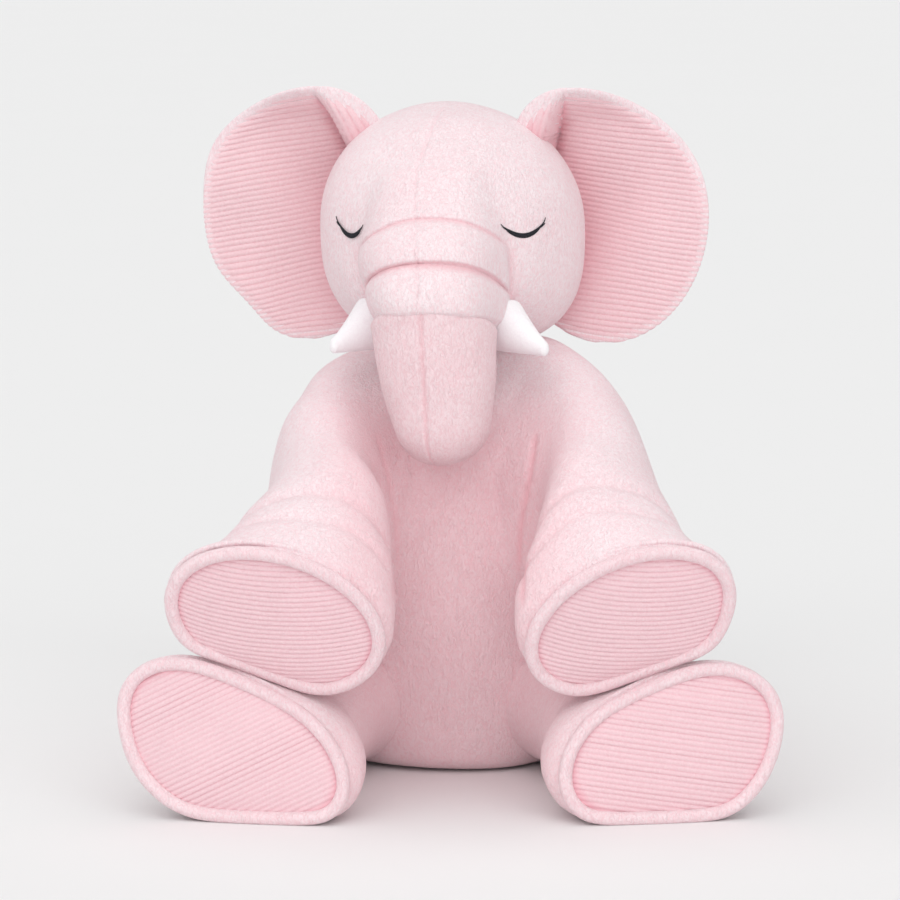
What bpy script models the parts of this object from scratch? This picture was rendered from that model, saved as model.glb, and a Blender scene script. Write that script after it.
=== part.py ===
"""Seated stuffed elephant, built as the cloth bags, filling and sewn joints of the real toy.

Metres, +Z up. The toy faces -Y and sits on the floor plane z = 0, with the origin under its seat.
Left and right are the toy's own sides, so its left is at +X.
Every bag is a cloth skin with an opening at its sewing line and its own filling inside.
"""

import math
from collections import namedtuple

import bmesh
import bpy
from mathutils import Matrix, Vector

# Cloth and fit
SKIN = 0.0025
GAP = 0.0004
HEAD_FIT = 0.0008

# Torso, seat to neck seam
TORSO_HEIGHT = 0.252
HIP_HEIGHT = 0.060
HIP_HALF_WIDTH = 0.100
HIP_HALF_DEPTH = 0.098
SEAT_HALF_WIDTH = HIP_HALF_WIDTH - 0.012
SEAT_HALF_DEPTH = HIP_HALF_DEPTH - 0.006
NECK_RADIUS = 0.040
CHEST_FULLNESS = 0.55
CHEST_TAPER = 0.35
SEAT_CENTRE_Y = 0.010
NECK_CENTRE_Y = -0.014
BEAD_POUCH_HEIGHT = 0.022

# Head, a rounded body turned a little to the toy's right
HEAD_HALF_WIDTH = 0.0785
HEAD_HALF_DEPTH = 0.0775
HEAD_HALF_HEIGHT = 0.0725
HEAD_FULLNESS = 2.2
HEAD_YAW = math.radians(6.5)
CROWN_RISE = math.radians(84)

# Muzzle and trunk, hung on the front of the face
MUZZLE_TOP = 0.0415
MUZZLE_BOTTOM = -0.041
MUZZLE_BANDS = 3
MUZZLE_SEAT = HEAD_HALF_DEPTH - 0.0075
MUZZLE_REACH = 0.059
MUZZLE_HALF_WIDTH = 0.044
MUZZLE_TAPER = 0.006
MUZZLE_SLOPE = 1.1
BROW_THICKNESS = 0.006
BROW_SHARPNESS = 1.5
TUCK_DEPTH = 0.004
TRUNK_LENGTH = 0.088
TRUNK_TIP_RADIUS = 0.0225
TRUNK_TIP_SHIFT = Vector((0.009, -0.004, 0))
TRUNK_STRAIGHT_SHARE = 0.625
TRUNK_TIP_BEND = math.radians(80)

# Tusks and embroidered eyes, placed by their angles on the head
TUSK_AZIMUTH = math.radians(41)
TUSK_DIP = math.radians(33)
TUSK_RADIUS = 0.0130
TUSK_TIP_RADIUS = 0.0045
TUSK_REACH = Vector((0.018, -0.048, -0.021))
TUSK_SPREAD = 0.6
EYE_AZIMUTH = math.radians(40.3)
EYE_RISE = math.radians(7.2)
EYE_HALF_SPAN = math.radians(10.5)
EYE_SAG = math.radians(5.2)
EYE_THREAD_RADIUS = 0.0017
EYE_POINTS = 11

# Ears, shallow bowls set at the sides of the head
EAR_CENTRE_OUT = HEAD_HALF_WIDTH + 0.0115
EAR_CENTRE_RISE = 0.006
EAR_HALF_WIDTH = 0.0615
EAR_HALF_HEIGHT = 0.0770
EAR_RIM_BACK = 0.012
EAR_BOWL = 0.016
EAR_BOWL_SHIFT = 0.3
EAR_BATTING = 0.008
EAR_HINGE_OUT = 0.010

# Arms, sewn to flats pressed into the flanks of the chest
ARM_FLAT_ANGLE = math.radians(32)
ARM_PRESS = 0.0145
ARM_ROOT_Y = -0.033
ARM_ROOT_HEIGHT = TORSO_HEIGHT - 0.066
ARM_ROOT_HALF = Vector((0.036, 0.068))
ARM_ROOT_PULL = 0.14
ARM_SOLE_CENTRE = Vector((0.0980, -0.200, 0.1145))
ARM_SOLE_HALF = {"left": Vector((0.0600, 0.0435)), "right": Vector((0.0620, 0.0445))}
ARM_SOLE_ROLL = {"left": math.radians(22), "right": math.radians(18)}
ARM_SOLE_OUT = math.radians(3)
ARM_SOLE_DIP = math.radians(20)

# Legs, sewn to flats pressed into the front corners of the hips
HIP_FLAT_ANGLE = math.radians(40)
HIP_PRESS = 0.0158
LEG_ROOT_OUT = 0.062
LEG_ROOT_HEIGHT = 0.042
LEG_ROOT_HALF = Vector((0.048, 0.042))
LEG_ROOT_PULL = 0.25
LEG_SOLE_CENTRE = Vector((0.1200, -0.196, 0.0435))
LEG_SOLE_HALF = {"left": Vector((0.0675, 0.0470)), "right": Vector((0.0720, 0.0450))}
LEG_SOLE_ROLL = {"left": math.radians(21), "right": math.radians(27)}
LEG_SOLE_OUT = math.radians(9)
LEG_SOLE_DIP = math.radians(-5)

# The plane in which each arm rests on the leg below it, by its height at the soles
REST_SLOPE = math.radians(20)
REST_PITCH = math.radians(12)
REST_HEIGHT = 0.0425
FLAT_FADE = 0.045
FLAT_MARGIN = 0.024

# Limbs and soles
SOLE_PULL = 0.6
LIMB_FLARE = 2.5
WELT_RADIUS = 0.0048
PAD_THICKNESS = 0.003
PAD_DOME = 0.004
PAD_DOME_SHARE = 0.6

# Tail
TAIL_HEIGHT = 0.082
TAIL_PRESS = 0.003
TAIL_RADIUS = 0.0095
TAIL_TAPER = 0.25
TAIL_REACH = Vector((0, 0.025, -0.044))
TUFT_LENGTH = 0.030
TUFT_RADIUS = 0.0115
TUFT_NECK = 0.18
TUFT_RUN = 0.80

# Facets around and along the soft forms
BODY_RING = 26
LIMB_RING = 20
EAR_RING = 30
SMALL_RING = 10
WELT_RING = 6
BODY_LEVELS = 11
LIMB_LEVELS = 7
SEAT_LEVELS = (0.06, 0.2, 0.65, 1.0)
EAR_SHARES = (0.45, 0.8, 0.93, 1.0)

UP = Vector((0, 0, 1))
FORWARD = Vector((0, -1, 0))
LEVEL_AXES = (Vector((1, 0, 0)), Vector((0, 1, 0)))
SIDES = {"left": 1, "right": -1}

Section = namedtuple("Section", "centre across up half_width half_height")
Body = namedtuple("Body", "pivot anchor")


def clear_scene():
    """Remove every object, so the file starts empty."""
    for item in list(bpy.data.objects):
        bpy.data.objects.remove(item, do_unlink=True)


def cloth(name, colour, roughness):
    """Make a plain material for one kind of cloth, thread or filling."""
    material = bpy.data.materials.new(name)
    material.use_nodes = True
    shader = material.node_tree.nodes["Principled BSDF"]
    shader.inputs["Base Color"].default_value = (*colour, 1)
    shader.inputs["Roughness"].default_value = roughness
    shader.inputs["Metallic"].default_value = 0
    return material


def add_body(name, parent, anchor, turn=0.0):
    """Add the pivot of a body at its anchor, given in the frame of the assembly it belongs to."""
    pivot = bpy.data.objects.new(name + "_pivot", None)
    bpy.context.collection.objects.link(pivot)
    if parent:
        pivot.parent = parent.pivot
    pivot.location = anchor - parent.anchor if parent else anchor
    pivot.rotation_euler.z = turn
    return Body(pivot, anchor)


def add_node(name, mesh_form, body, material):
    """Turn a finished form into a named object that hangs on its body's pivot."""
    bmesh.ops.recalc_face_normals(mesh_form, faces=mesh_form.faces)
    bmesh.ops.translate(mesh_form, vec=-body.anchor, verts=mesh_form.verts)
    mesh = bpy.data.meshes.new(name)
    mesh_form.to_mesh(mesh)
    mesh_form.free()
    mesh.shade_smooth()
    mesh.set_sharp_from_angle(angle=math.radians(50))
    mesh.materials.append(material)
    node = bpy.data.objects.new(name, mesh)
    node.parent = body.pivot
    bpy.context.collection.objects.link(node)
    return node


def pressed_flat(normal, distance, fade_start=0.0, fade_way=0):
    """Give a rule that keeps points behind a plane and moves them within their own section.

    The plane yields above the fade's start with a way of 1, and below it with a way of -1.
    """

    def rule(point, inset, ahead):
        past = max(0.0, (point.z - fade_start) * fade_way)
        excess = normal.dot(point) - (distance - inset + past * past / FLAT_FADE)
        if excess <= 0:
            return point
        slide = normal - ahead * normal.dot(ahead)
        if slide.length < 0.2:
            return point - normal * excess
        return point - slide * excess / slide.length_squared

    return rule


def section_ring(section, inset, rules, count):
    """Return the points of an oval section, inset from the cloth's outside and pressed by the rules."""
    points = []
    ahead = section.across.cross(section.up)
    for step in range(count):
        turn = 2 * math.pi * step / count
        across = section.across * (section.half_width - inset) * math.cos(turn)
        point = section.centre + across + section.up * (section.half_height - inset) * math.sin(turn)
        for rule in rules:
            point = rule(point, inset, ahead)
        points.append(point)
    return points


def add_wall(form, rings):
    """Skin a row of rings with triangles, split alike in every layer, and return the vertices."""
    rows = [[form.verts.new(point) for point in ring] for ring in rings]
    for near, far in zip(rows, rows[1:]):
        count = len(near)
        for step in range(count):
            after = (step + 1) % count
            form.faces.new((near[step], near[after], far[after]))
            form.faces.new((near[step], far[after], far[step]))
    return rows


def join_rim(form, outer, inner):
    """Close the edge of an opening between the outer and the inner face of the cloth."""
    count = len(outer)
    for step in range(count):
        after = (step + 1) % count
        form.faces.new((outer[step], outer[after], inner[after], inner[step]))


def filled_form(rings):
    """Make one solid from rings, closed with flat ends."""
    form = bmesh.new()
    rows = add_wall(form, rings)
    form.faces.new(rows[0])
    form.faces.new(rows[-1])
    return form


def skin_form(outer, inner, open_start=True, open_end=False):
    """Make a cloth bag that is open at its first ring, its last ring or both."""
    form = bmesh.new()
    outer_rows = add_wall(form, outer)
    inner_rows = add_wall(form, inner)
    for place, is_open in ((0, open_start), (-1, open_end)):
        if is_open:
            join_rim(form, outer_rows[place], inner_rows[place])
        else:
            form.faces.new(outer_rows[place])
            form.faces.new(inner_rows[place])
    return form


def bezier(start, start_pull, end_pull, end, share):
    """Return a point on a cubic curve."""
    rest = 1 - share
    near = start * rest ** 3 + start_pull * 3 * rest * rest * share
    return near + end_pull * 3 * rest * share * share + end * share ** 3


def smooth(share):
    """Ease a share from 0 to 1."""
    return share * share * (3 - 2 * share)


def head_scale(height):
    """Return how wide the head is at a height from its centre, as a share of its widest."""
    rise = min(abs(height) / HEAD_HALF_HEIGHT, 1)
    return max(1 - rise ** HEAD_FULLNESS, 0) ** (1 / HEAD_FULLNESS)


def neck_drop():
    """Return how far the neck seam lies below the centre of the head."""
    share = NECK_RADIUS / HEAD_HALF_WIDTH
    return HEAD_HALF_HEIGHT * (1 - share ** HEAD_FULLNESS) ** (1 / HEAD_FULLNESS)


def head_point(azimuth, rise, off):
    """Return a point on the head at two angles, lifted off its surface, and the way it faces."""
    height = HEAD_HALF_HEIGHT * math.copysign(abs(math.sin(rise)) ** (2 / HEAD_FULLNESS), rise)
    scale = head_scale(height)
    point = Vector((math.sin(azimuth) * HEAD_HALF_WIDTH, -math.cos(azimuth) * HEAD_HALF_DEPTH, 0)) * scale
    point.z = height
    power = HEAD_FULLNESS - 1
    facing = Vector((point.x / HEAD_HALF_WIDTH ** 2, point.y / HEAD_HALF_DEPTH ** 2, 0)).normalized()
    facing *= scale ** power / HEAD_HALF_WIDTH
    facing.z = math.copysign((abs(height) / HEAD_HALF_HEIGHT) ** power / HEAD_HALF_HEIGHT, height)
    facing.normalize()
    return point + facing * off, facing


def arm_flat(side):
    """Return the way the flat for an arm faces."""
    return Vector((side * math.cos(ARM_FLAT_ANGLE), -math.sin(ARM_FLAT_ANGLE), 0))


def rest_normal(side):
    """Return the way up from the plane in which an arm rests on its leg."""
    return Vector((-side * math.tan(REST_SLOPE), -math.tan(REST_PITCH), 1)).normalized()


def rest_distance():
    """Return how far that plane lies from the origin along its normal."""
    return rest_normal(1).dot(Vector((0, LEG_SOLE_CENTRE.y, REST_HEIGHT)))


def hip_flat(side):
    """Return the way the flat for a leg faces."""
    return Vector((side * math.sin(HIP_FLAT_ANGLE), -math.cos(HIP_FLAT_ANGLE), 0))


def torso_oval(level):
    """Return where the torso's oval lies in depth, and its half width and half depth, at a level."""
    middle = SEAT_CENTRE_Y + (NECK_CENTRE_Y - SEAT_CENTRE_Y) * level / TORSO_HEIGHT
    if level < HIP_HEIGHT:
        swell = math.sqrt(1 - (1 - level / HIP_HEIGHT) ** 2)
        half_width = SEAT_HALF_WIDTH + (HIP_HALF_WIDTH - SEAT_HALF_WIDTH) * swell
        half_depth = SEAT_HALF_DEPTH + (HIP_HALF_DEPTH - SEAT_HALF_DEPTH) * swell
    else:
        climb = (level - HIP_HEIGHT) / (TORSO_HEIGHT - HIP_HEIGHT)
        swell = max(0.0, math.cos(math.pi / 2 * climb)) ** CHEST_FULLNESS * (1 - CHEST_TAPER * climb)
        half_width = NECK_RADIUS + (HIP_HALF_WIDTH - NECK_RADIUS) * swell
        half_depth = NECK_RADIUS + (HIP_HALF_DEPTH - NECK_RADIUS) * swell
    return middle, half_width, half_depth


def torso_reach(level, facing):
    """Return how far the unpressed torso reaches from the origin along a level direction."""
    middle, half_width, half_depth = torso_oval(level)
    return math.hypot(half_width * facing.x, half_depth * facing.y) + middle * facing.y


def arm_flat_distance():
    """Return how far the flats for the arms lie from the origin."""
    return torso_reach(ARM_ROOT_HEIGHT, arm_flat(1)) - ARM_PRESS


def hip_flat_distance():
    """Return how far the flats for the legs lie from the origin."""
    return torso_reach(LEG_ROOT_HEIGHT, hip_flat(1)) - HIP_PRESS


def tail_flat_distance():
    """Return how far back the flat for the tail lies."""
    return torso_reach(TAIL_HEIGHT, -FORWARD) - TAIL_PRESS


def torso_rules():
    """Return what presses the torso flat: the arms, the legs and the tail."""
    rules = []
    arm_lowest = ARM_ROOT_HEIGHT - ARM_ROOT_HALF.y - FLAT_MARGIN
    leg_highest = LEG_ROOT_HEIGHT + LEG_ROOT_HALF.y + FLAT_MARGIN
    for side in SIDES.values():
        rules.append(pressed_flat(arm_flat(side), arm_flat_distance(), arm_lowest, -1))
        rules.append(pressed_flat(hip_flat(side), hip_flat_distance(), leg_highest, 1))
    rules.append(pressed_flat(-FORWARD, tail_flat_distance()))
    return rules


def torso_section(level, inset):
    """Return the oval of the pear-shaped torso at a level between the seat (0) and the neck."""
    middle, half_width, half_depth = torso_oval(level)
    height = inset + level * (1 - inset / TORSO_HEIGHT)
    section = Section(Vector((0, middle, height)), *LEVEL_AXES, half_width, half_depth)
    return section_ring(section, inset, torso_rules(), BODY_RING)


def torso_rings(inset, low, high):
    """Return the rings of the torso between two levels."""
    levels = [HIP_HEIGHT * share for share in SEAT_LEVELS]
    levels += [BEAD_POUCH_HEIGHT, BEAD_POUCH_HEIGHT + GAP]
    upper = TORSO_HEIGHT - HIP_HEIGHT
    count = BODY_LEVELS - len(SEAT_LEVELS)
    levels += [HIP_HEIGHT + upper * step / count for step in range(1, count)]
    between = [level for level in sorted(levels) if low + GAP / 2 < level < high - GAP / 2]
    return [torso_section(level, inset) for level in [low] + between + [high]]


def build_torso(body, finishes):
    """Make the torso's bag, its filling and the pouch of beads that weights the seat."""
    cover = skin_form(torso_rings(0, 0, TORSO_HEIGHT), torso_rings(SKIN, 0, TORSO_HEIGHT),
                      open_start=False, open_end=True)
    add_node("torso_skin", cover, body, finishes["plush"])
    inset = SKIN + GAP
    pouch = filled_form(torso_rings(inset, 0, BEAD_POUCH_HEIGHT))
    add_node("bead_pouch", pouch, body, finishes["pouch"])
    filling = filled_form(torso_rings(inset, BEAD_POUCH_HEIGHT + GAP, TORSO_HEIGHT))
    add_node("torso_stuffing", filling, body, finishes["filling"])


def head_rings(inset):
    """Return the rings of the head from the neck seam to its crown, about the head's centre."""
    rings = []
    low = -neck_drop()
    first = math.asin((abs(low) / HEAD_HALF_HEIGHT) ** (HEAD_FULLNESS / 2))
    for step in range(BODY_LEVELS + 1):
        rise = -first + (first + CROWN_RISE) * step / BODY_LEVELS
        height = HEAD_HALF_HEIGHT * math.copysign(abs(math.sin(rise)) ** (2 / HEAD_FULLNESS), rise)
        scale = head_scale(height)
        shrink = 1 - inset / HEAD_HALF_HEIGHT if height > 0 else 1
        section = Section(Vector((0, 0, height * shrink)), *LEVEL_AXES,
                          HEAD_HALF_WIDTH * scale, HEAD_HALF_DEPTH * scale)
        inward = inset * min(1, scale * 2)
        rings.append(section_ring(section, inward, (pressed_flat(FORWARD, MUZZLE_SEAT),), BODY_RING))
    return rings


def muzzle_section(share, inset):
    """Return the outline of the muzzle at a share of its height: bands that overhang their tucks."""
    height = MUZZLE_BOTTOM + (MUZZLE_TOP - inset - MUZZLE_BOTTOM) * share
    tuck = TUCK_DEPTH * (0.5 + 0.5 * math.cos(2 * math.pi * MUZZLE_BANDS * share)) ** 2
    narrowing = max(0.0, share - 1 / MUZZLE_BANDS) / (1 - 1 / MUZZLE_BANDS)
    half_width = MUZZLE_HALF_WIDTH * (1 - narrowing ** 2) ** BROW_SHARPNESS
    half_width -= MUZZLE_TAPER * (1 - share) ** 2 + tuck * (1 - share)
    bulge = BROW_THICKNESS + (MUZZLE_REACH - BROW_THICKNESS) * (1 - share) ** MUZZLE_SLOPE
    centre = Vector((0, -MUZZLE_SEAT, height))
    section = Section(centre, *LEVEL_AXES, half_width, bulge - tuck)
    return section_ring(section, inset, (pressed_flat(-FORWARD, -MUZZLE_SEAT - GAP),), BODY_RING)


def muzzle_rings(inset):
    """Return the rings of the muzzle from the trunk seam up to the brow, filled short of its tip."""
    levels = MUZZLE_BANDS * 3
    reach = levels - 2 if inset else levels
    return [muzzle_section(step / levels, inset) for step in range(reach)]


def trunk_seam_half_width():
    """Return half the width of the trunk where it is sewn under the muzzle."""
    return MUZZLE_HALF_WIDTH - MUZZLE_TAPER - TUCK_DEPTH


def trunk_front():
    """Return how far in front of the head's centre the trunk's seam begins."""
    return MUZZLE_SEAT + MUZZLE_REACH - TUCK_DEPTH


def trunk_seam_half_depth():
    """Return half the depth of the trunk at its seam, which lies just in front of the chin."""
    chin = HEAD_HALF_DEPTH * head_scale(MUZZLE_BOTTOM) + HEAD_FIT
    return (trunk_front() - chin) / 2


def trunk_rings(inset):
    """Return the rings of the trunk from its seam down to the rounded tip."""
    rings = []
    top = MUZZLE_BOTTOM - GAP
    middle = trunk_seam_half_depth() - trunk_front()
    dome = TRUNK_TIP_RADIUS
    straight = TRUNK_LENGTH - dome
    for step in range(LIMB_LEVELS + 1):
        share = step / LIMB_LEVELS
        run = min(1.0, share / TRUNK_STRAIGHT_SHARE)
        bend = TRUNK_TIP_BEND * max(0.0, (share - TRUNK_STRAIGHT_SHARE) / (1 - TRUNK_STRAIGHT_SHARE))
        half_width = trunk_seam_half_width() + (TRUNK_TIP_RADIUS - trunk_seam_half_width()) * smooth(run)
        half_depth = trunk_seam_half_depth()
        half_depth += (TRUNK_TIP_RADIUS - half_depth) * smooth(run)
        drop = straight * run + (dome - inset) * math.sin(bend)
        centre = Vector((0, middle, top - drop)) + TRUNK_TIP_SHIFT * run * run
        section = Section(centre, *LEVEL_AXES,
                          (half_width - inset) * math.cos(bend), (half_depth - inset) * math.cos(bend))
        rings.append(section_ring(section, 0, (), LIMB_RING))
    return rings


def tusk_rings(side, inset):
    """Return the rings of a tusk from its seam on the cheek to its blunt tip."""
    base, facing = head_point(side * TUSK_AZIMUTH, -TUSK_DIP, GAP)
    reach = Vector((side * TUSK_REACH.x, TUSK_REACH.y, TUSK_REACH.z))
    tip = base + reach
    away = (reach + Vector((side * TUSK_REACH.length * TUSK_SPREAD, 0, 0))).normalized()
    rings = []
    for step in range(LIMB_LEVELS - 1):
        share = step / (LIMB_LEVELS - 2)
        pull = reach.length / 3
        centre = bezier(base, base + facing * pull, tip - away * pull, tip, share)
        ahead = facing.lerp(away, smooth(share)).normalized()
        across = ahead.cross(UP).normalized()
        radius = TUSK_RADIUS + (TUSK_TIP_RADIUS - TUSK_RADIUS) * share ** 1.5 - inset
        section = Section(centre - ahead * inset * smooth(share), across, across.cross(ahead), radius, radius)
        rings.append(section_ring(section, 0, (), SMALL_RING))
    return rings


def build_eye(name, side, body, finish):
    """Make one embroidered eye, a raised arc of thread that sags like a closed lid."""
    data = bpy.data.curves.new(name, "CURVE")
    data.dimensions = "3D"
    data.bevel_depth = EYE_THREAD_RADIUS
    data.bevel_resolution = 1
    data.use_fill_caps = True
    spline = data.splines.new("POLY")
    spline.points.add(EYE_POINTS - 1)
    for step in range(EYE_POINTS):
        swing = 2 * step / (EYE_POINTS - 1) - 1
        azimuth = side * (EYE_AZIMUTH + EYE_HALF_SPAN * swing)
        rise = EYE_RISE + EYE_SAG * (swing * swing - 1)
        point, _ = head_point(azimuth, rise, EYE_THREAD_RADIUS + GAP)
        spline.points[step].co = (*(point - body.anchor), 1)
    data.materials.append(finish)
    eye = bpy.data.objects.new(name, data)
    eye.parent = body.pivot
    bpy.context.collection.objects.link(eye)


def build_head(body, finishes):
    """Make the head with its muzzle, tusks and embroidered eyes."""
    add_node("head_skin", skin_form(head_rings(0), head_rings(SKIN)), body,
             finishes["plush"])
    add_node("head_stuffing", filled_form(head_rings(SKIN + GAP)), body, finishes["filling"])
    muzzle = skin_form(muzzle_rings(0), muzzle_rings(SKIN))
    add_node("muzzle_skin", muzzle, body, finishes["plush"])
    add_node("muzzle_stuffing", filled_form(muzzle_rings(SKIN + GAP)), body, finishes["filling"])
    for label, side in SIDES.items():
        cover = skin_form(tusk_rings(side, 0), tusk_rings(side, SKIN / 2))
        add_node(label + "_tusk_cover", cover, body, finishes["tusk"])
        filling = filled_form(tusk_rings(side, SKIN / 2 + GAP))
        add_node(label + "_tusk_stuffing", filling, body, finishes["filling"])
        build_eye(label + "_eye_stitching", side, body, finishes["thread"])


def build_trunk(body, finishes):
    """Make the free end of the trunk below the muzzle."""
    add_node("trunk_skin", skin_form(trunk_rings(0), trunk_rings(SKIN)), body,
             finishes["plush"])
    add_node("trunk_stuffing", filled_form(trunk_rings(SKIN + GAP)), body, finishes["filling"])


def head_edge(height):
    """Return how far out the side of the head lies at a height, in the plane of the ear's rim."""
    scale = head_scale(height)
    back = EAR_RIM_BACK / (HEAD_HALF_DEPTH * max(scale, 0.001))
    return HEAD_HALF_WIDTH * scale * math.sqrt(max(0.0, 1 - back * back))


def ear_point(side, share, turn, lift):
    """Return a point of the ear's bowl, from its middle (share 0) to its rim (share 1)."""
    height = EAR_CENTRE_RISE + EAR_HALF_HEIGHT * math.sin(turn)
    rim_out = max(EAR_CENTRE_OUT + EAR_HALF_WIDTH * math.cos(turn), head_edge(height) + HEAD_FIT)
    middle = EAR_CENTRE_OUT + EAR_HALF_WIDTH * EAR_BOWL_SHIFT
    out = middle + (rim_out - middle) * share
    rise = EAR_CENTRE_RISE + (height - EAR_CENTRE_RISE) * share
    back = EAR_RIM_BACK + EAR_BOWL * (1 - share * share) - lift
    return Vector((side * out, back, rise))


def ear_layer(side, lower, upper, shares):
    """Make one layer of an ear between two heights above the bowl, as functions of the share."""
    form = bmesh.new()
    faces = []
    for lift in (lower, upper):
        hub = form.verts.new(ear_point(side, 0, 0, lift(0)))
        rings = []
        for share in shares:
            rings.append([ear_point(side, share, 2 * math.pi * step / EAR_RING, lift(share))
                          for step in range(EAR_RING)])
        rows = add_wall(form, rings)
        for step in range(EAR_RING):
            form.faces.new((hub, rows[0][step], rows[0][(step + 1) % EAR_RING]))
        faces.append(rows[-1])
    join_rim(form, faces[0], faces[1])
    return form


def ear_puff(share):
    """Return half the thickness of the ear's batting at a share of the way to the rim."""
    return EAR_BATTING / 2 * (1 - share ** 4)


def build_ear(label, side, body, finishes):
    """Make one ear: a corduroy front and a plush back sewn round a layer of batting."""
    front = ear_layer(side, lambda share: ear_puff(share) + GAP,
                      lambda share: ear_puff(share) + GAP + SKIN, EAR_SHARES)
    add_node(label + "_ear_front", front, body, finishes["corduroy"])
    batting = ear_layer(side, lambda share: -ear_puff(share), ear_puff, EAR_SHARES[:-1])
    add_node(label + "_ear_batting", batting, body, finishes["filling"])
    back = ear_layer(side, lambda share: -ear_puff(share) - GAP - SKIN,
                     lambda share: -ear_puff(share) - GAP, EAR_SHARES)
    add_node(label + "_ear_back", back, body, finishes["plush"])


def sole_axes(side, roll, out, dip):
    """Return the way a sole faces, with its long direction and its short one."""
    facing = Vector((side * math.sin(out), -math.cos(out), 0)) * math.cos(dip) - UP * math.sin(dip)
    level = facing.cross(UP).normalized() * -side
    rolled = Matrix.Rotation(side * roll, 3, facing) @ level
    return facing, rolled, facing.cross(rolled) * -side


def limb_sections(root, root_facing, root_half, root_pull, sole, axes, sole_half):
    """Return the sections of a limb that grows from its seam and turns into its sole."""
    facing, long_way, _ = axes
    span = (sole - root).length
    root_long = (UP.cross(root_facing)).normalized()
    if root_long.dot(long_way) < 0:
        root_long = -root_long
    sections = []
    for step in range(LIMB_LEVELS + 1):
        share = step / LIMB_LEVELS
        centre = bezier(root, root + root_facing * span * root_pull, root.lerp(sole, SOLE_PULL), sole, share)
        ahead = root_facing.lerp(facing, share).normalized()
        across = root_long.lerp(long_way, share)
        across = (across - ahead * ahead.dot(across)).normalized()
        half = root_half.lerp(sole_half, share ** LIMB_FLARE)
        sections.append(Section(centre, across, ahead.cross(across), half.x, half.y))
    return sections


def sole_outline(section, facing, rules, lift, inset):
    """Return the outline of a sole, lifted off its plane and inset from the edge of the sleeve."""
    lifted = section._replace(centre=section.centre + facing * (GAP + lift))
    return section_ring(lifted, inset, rules, LIMB_RING)


def welt_form(section, facing, rules):
    """Make the rolled plush edge that rings a sole."""
    form = bmesh.new()
    rings = []
    for step in range(WELT_RING):
        turn = 2 * math.pi * step / WELT_RING
        lift = WELT_RADIUS * (1 + math.sin(turn))
        rings.append(sole_outline(section, facing, rules, lift, WELT_RADIUS * (1 + math.cos(turn))))
    add_wall(form, rings + [rings[0]])
    bmesh.ops.remove_doubles(form, verts=form.verts, dist=GAP / 100)
    return form


def pad_form(section, facing, rules):
    """Make the corduroy pad inside the welt, flat behind and domed in front."""
    form = bmesh.new()
    back = form.verts.new(section.centre + facing * GAP)
    front = form.verts.new(section.centre + facing * (GAP + PAD_THICKNESS + PAD_DOME))
    rings = []
    shoulder = PAD_THICKNESS + PAD_DOME * (1 - PAD_DOME_SHARE ** 2)
    for share, lift in ((1, 0), (1, PAD_THICKNESS), (PAD_DOME_SHARE, shoulder)):
        edge = sole_outline(section, facing, rules, lift, WELT_RADIUS * 2 + GAP)
        middle = section.centre + facing * (GAP + lift)
        rings.append([middle.lerp(point, share) for point in edge])
    rows = add_wall(form, rings)
    for hub, row in ((back, rows[0]), (front, rows[-1])):
        for step in range(LIMB_RING):
            form.faces.new((hub, row[step], row[(step + 1) % LIMB_RING]))
    return form


def build_limb(label, sections, facing, rules, body, finishes):
    """Make a sleeve with its filling, its welt and its corduroy sole."""
    outer = [section_ring(section, 0, rules, LIMB_RING) for section in sections]
    inner = [section_ring(section, SKIN, rules, LIMB_RING) for section in sections]
    add_node(label + "_sleeve", skin_form(outer, inner, open_end=True), body, finishes["plush"])
    filling = [section_ring(section, SKIN + GAP, rules, LIMB_RING) for section in sections]
    add_node(label + "_stuffing", filled_form(filling), body, finishes["filling"])
    add_node(label + "_welt", welt_form(sections[-1], facing, rules), body, finishes["plush"])
    add_node(label + "_pad", pad_form(sections[-1], facing, rules), body, finishes["corduroy"])


def arm_root(side):
    """Return the middle of an arm's seam on the flank."""
    facing = arm_flat(side)
    out = (arm_flat_distance() + ARM_ROOT_Y * math.sin(ARM_FLAT_ANGLE)) / math.cos(ARM_FLAT_ANGLE)
    return Vector((side * out, ARM_ROOT_Y, ARM_ROOT_HEIGHT)) + facing * GAP


def build_arm(label, side, body, finishes):
    """Make one arm, which rests on the leg below it."""
    facing = arm_flat(side)
    axes = sole_axes(side, ARM_SOLE_ROLL[label], ARM_SOLE_OUT, ARM_SOLE_DIP)
    sole = Vector((side * ARM_SOLE_CENTRE.x, ARM_SOLE_CENTRE.y, ARM_SOLE_CENTRE.z))
    sections = limb_sections(arm_root(side), facing, ARM_ROOT_HALF, ARM_ROOT_PULL, sole, axes,
                             ARM_SOLE_HALF[label])
    rules = (pressed_flat(-rest_normal(side), -rest_distance() - GAP / 2),
             pressed_flat(-facing, -arm_flat_distance() - GAP))
    build_limb(label + "_arm", sections, axes[0], rules, body, finishes)


def leg_root(side):
    """Return the middle of a leg's seam on the hip."""
    facing = hip_flat(side)
    point = Vector((side * LEG_ROOT_OUT, 0, LEG_ROOT_HEIGHT))
    short = hip_flat_distance() + GAP - facing.dot(point)
    return point + FORWARD * short / facing.dot(FORWARD)


def leg_hinge(side):
    """Return the outer edge of a leg's seam, about which the leg swings out."""
    outward = Vector((side * math.cos(HIP_FLAT_ANGLE), math.sin(HIP_FLAT_ANGLE), 0))
    return leg_root(side) + outward * (LEG_ROOT_HALF.x + GAP)


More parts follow.
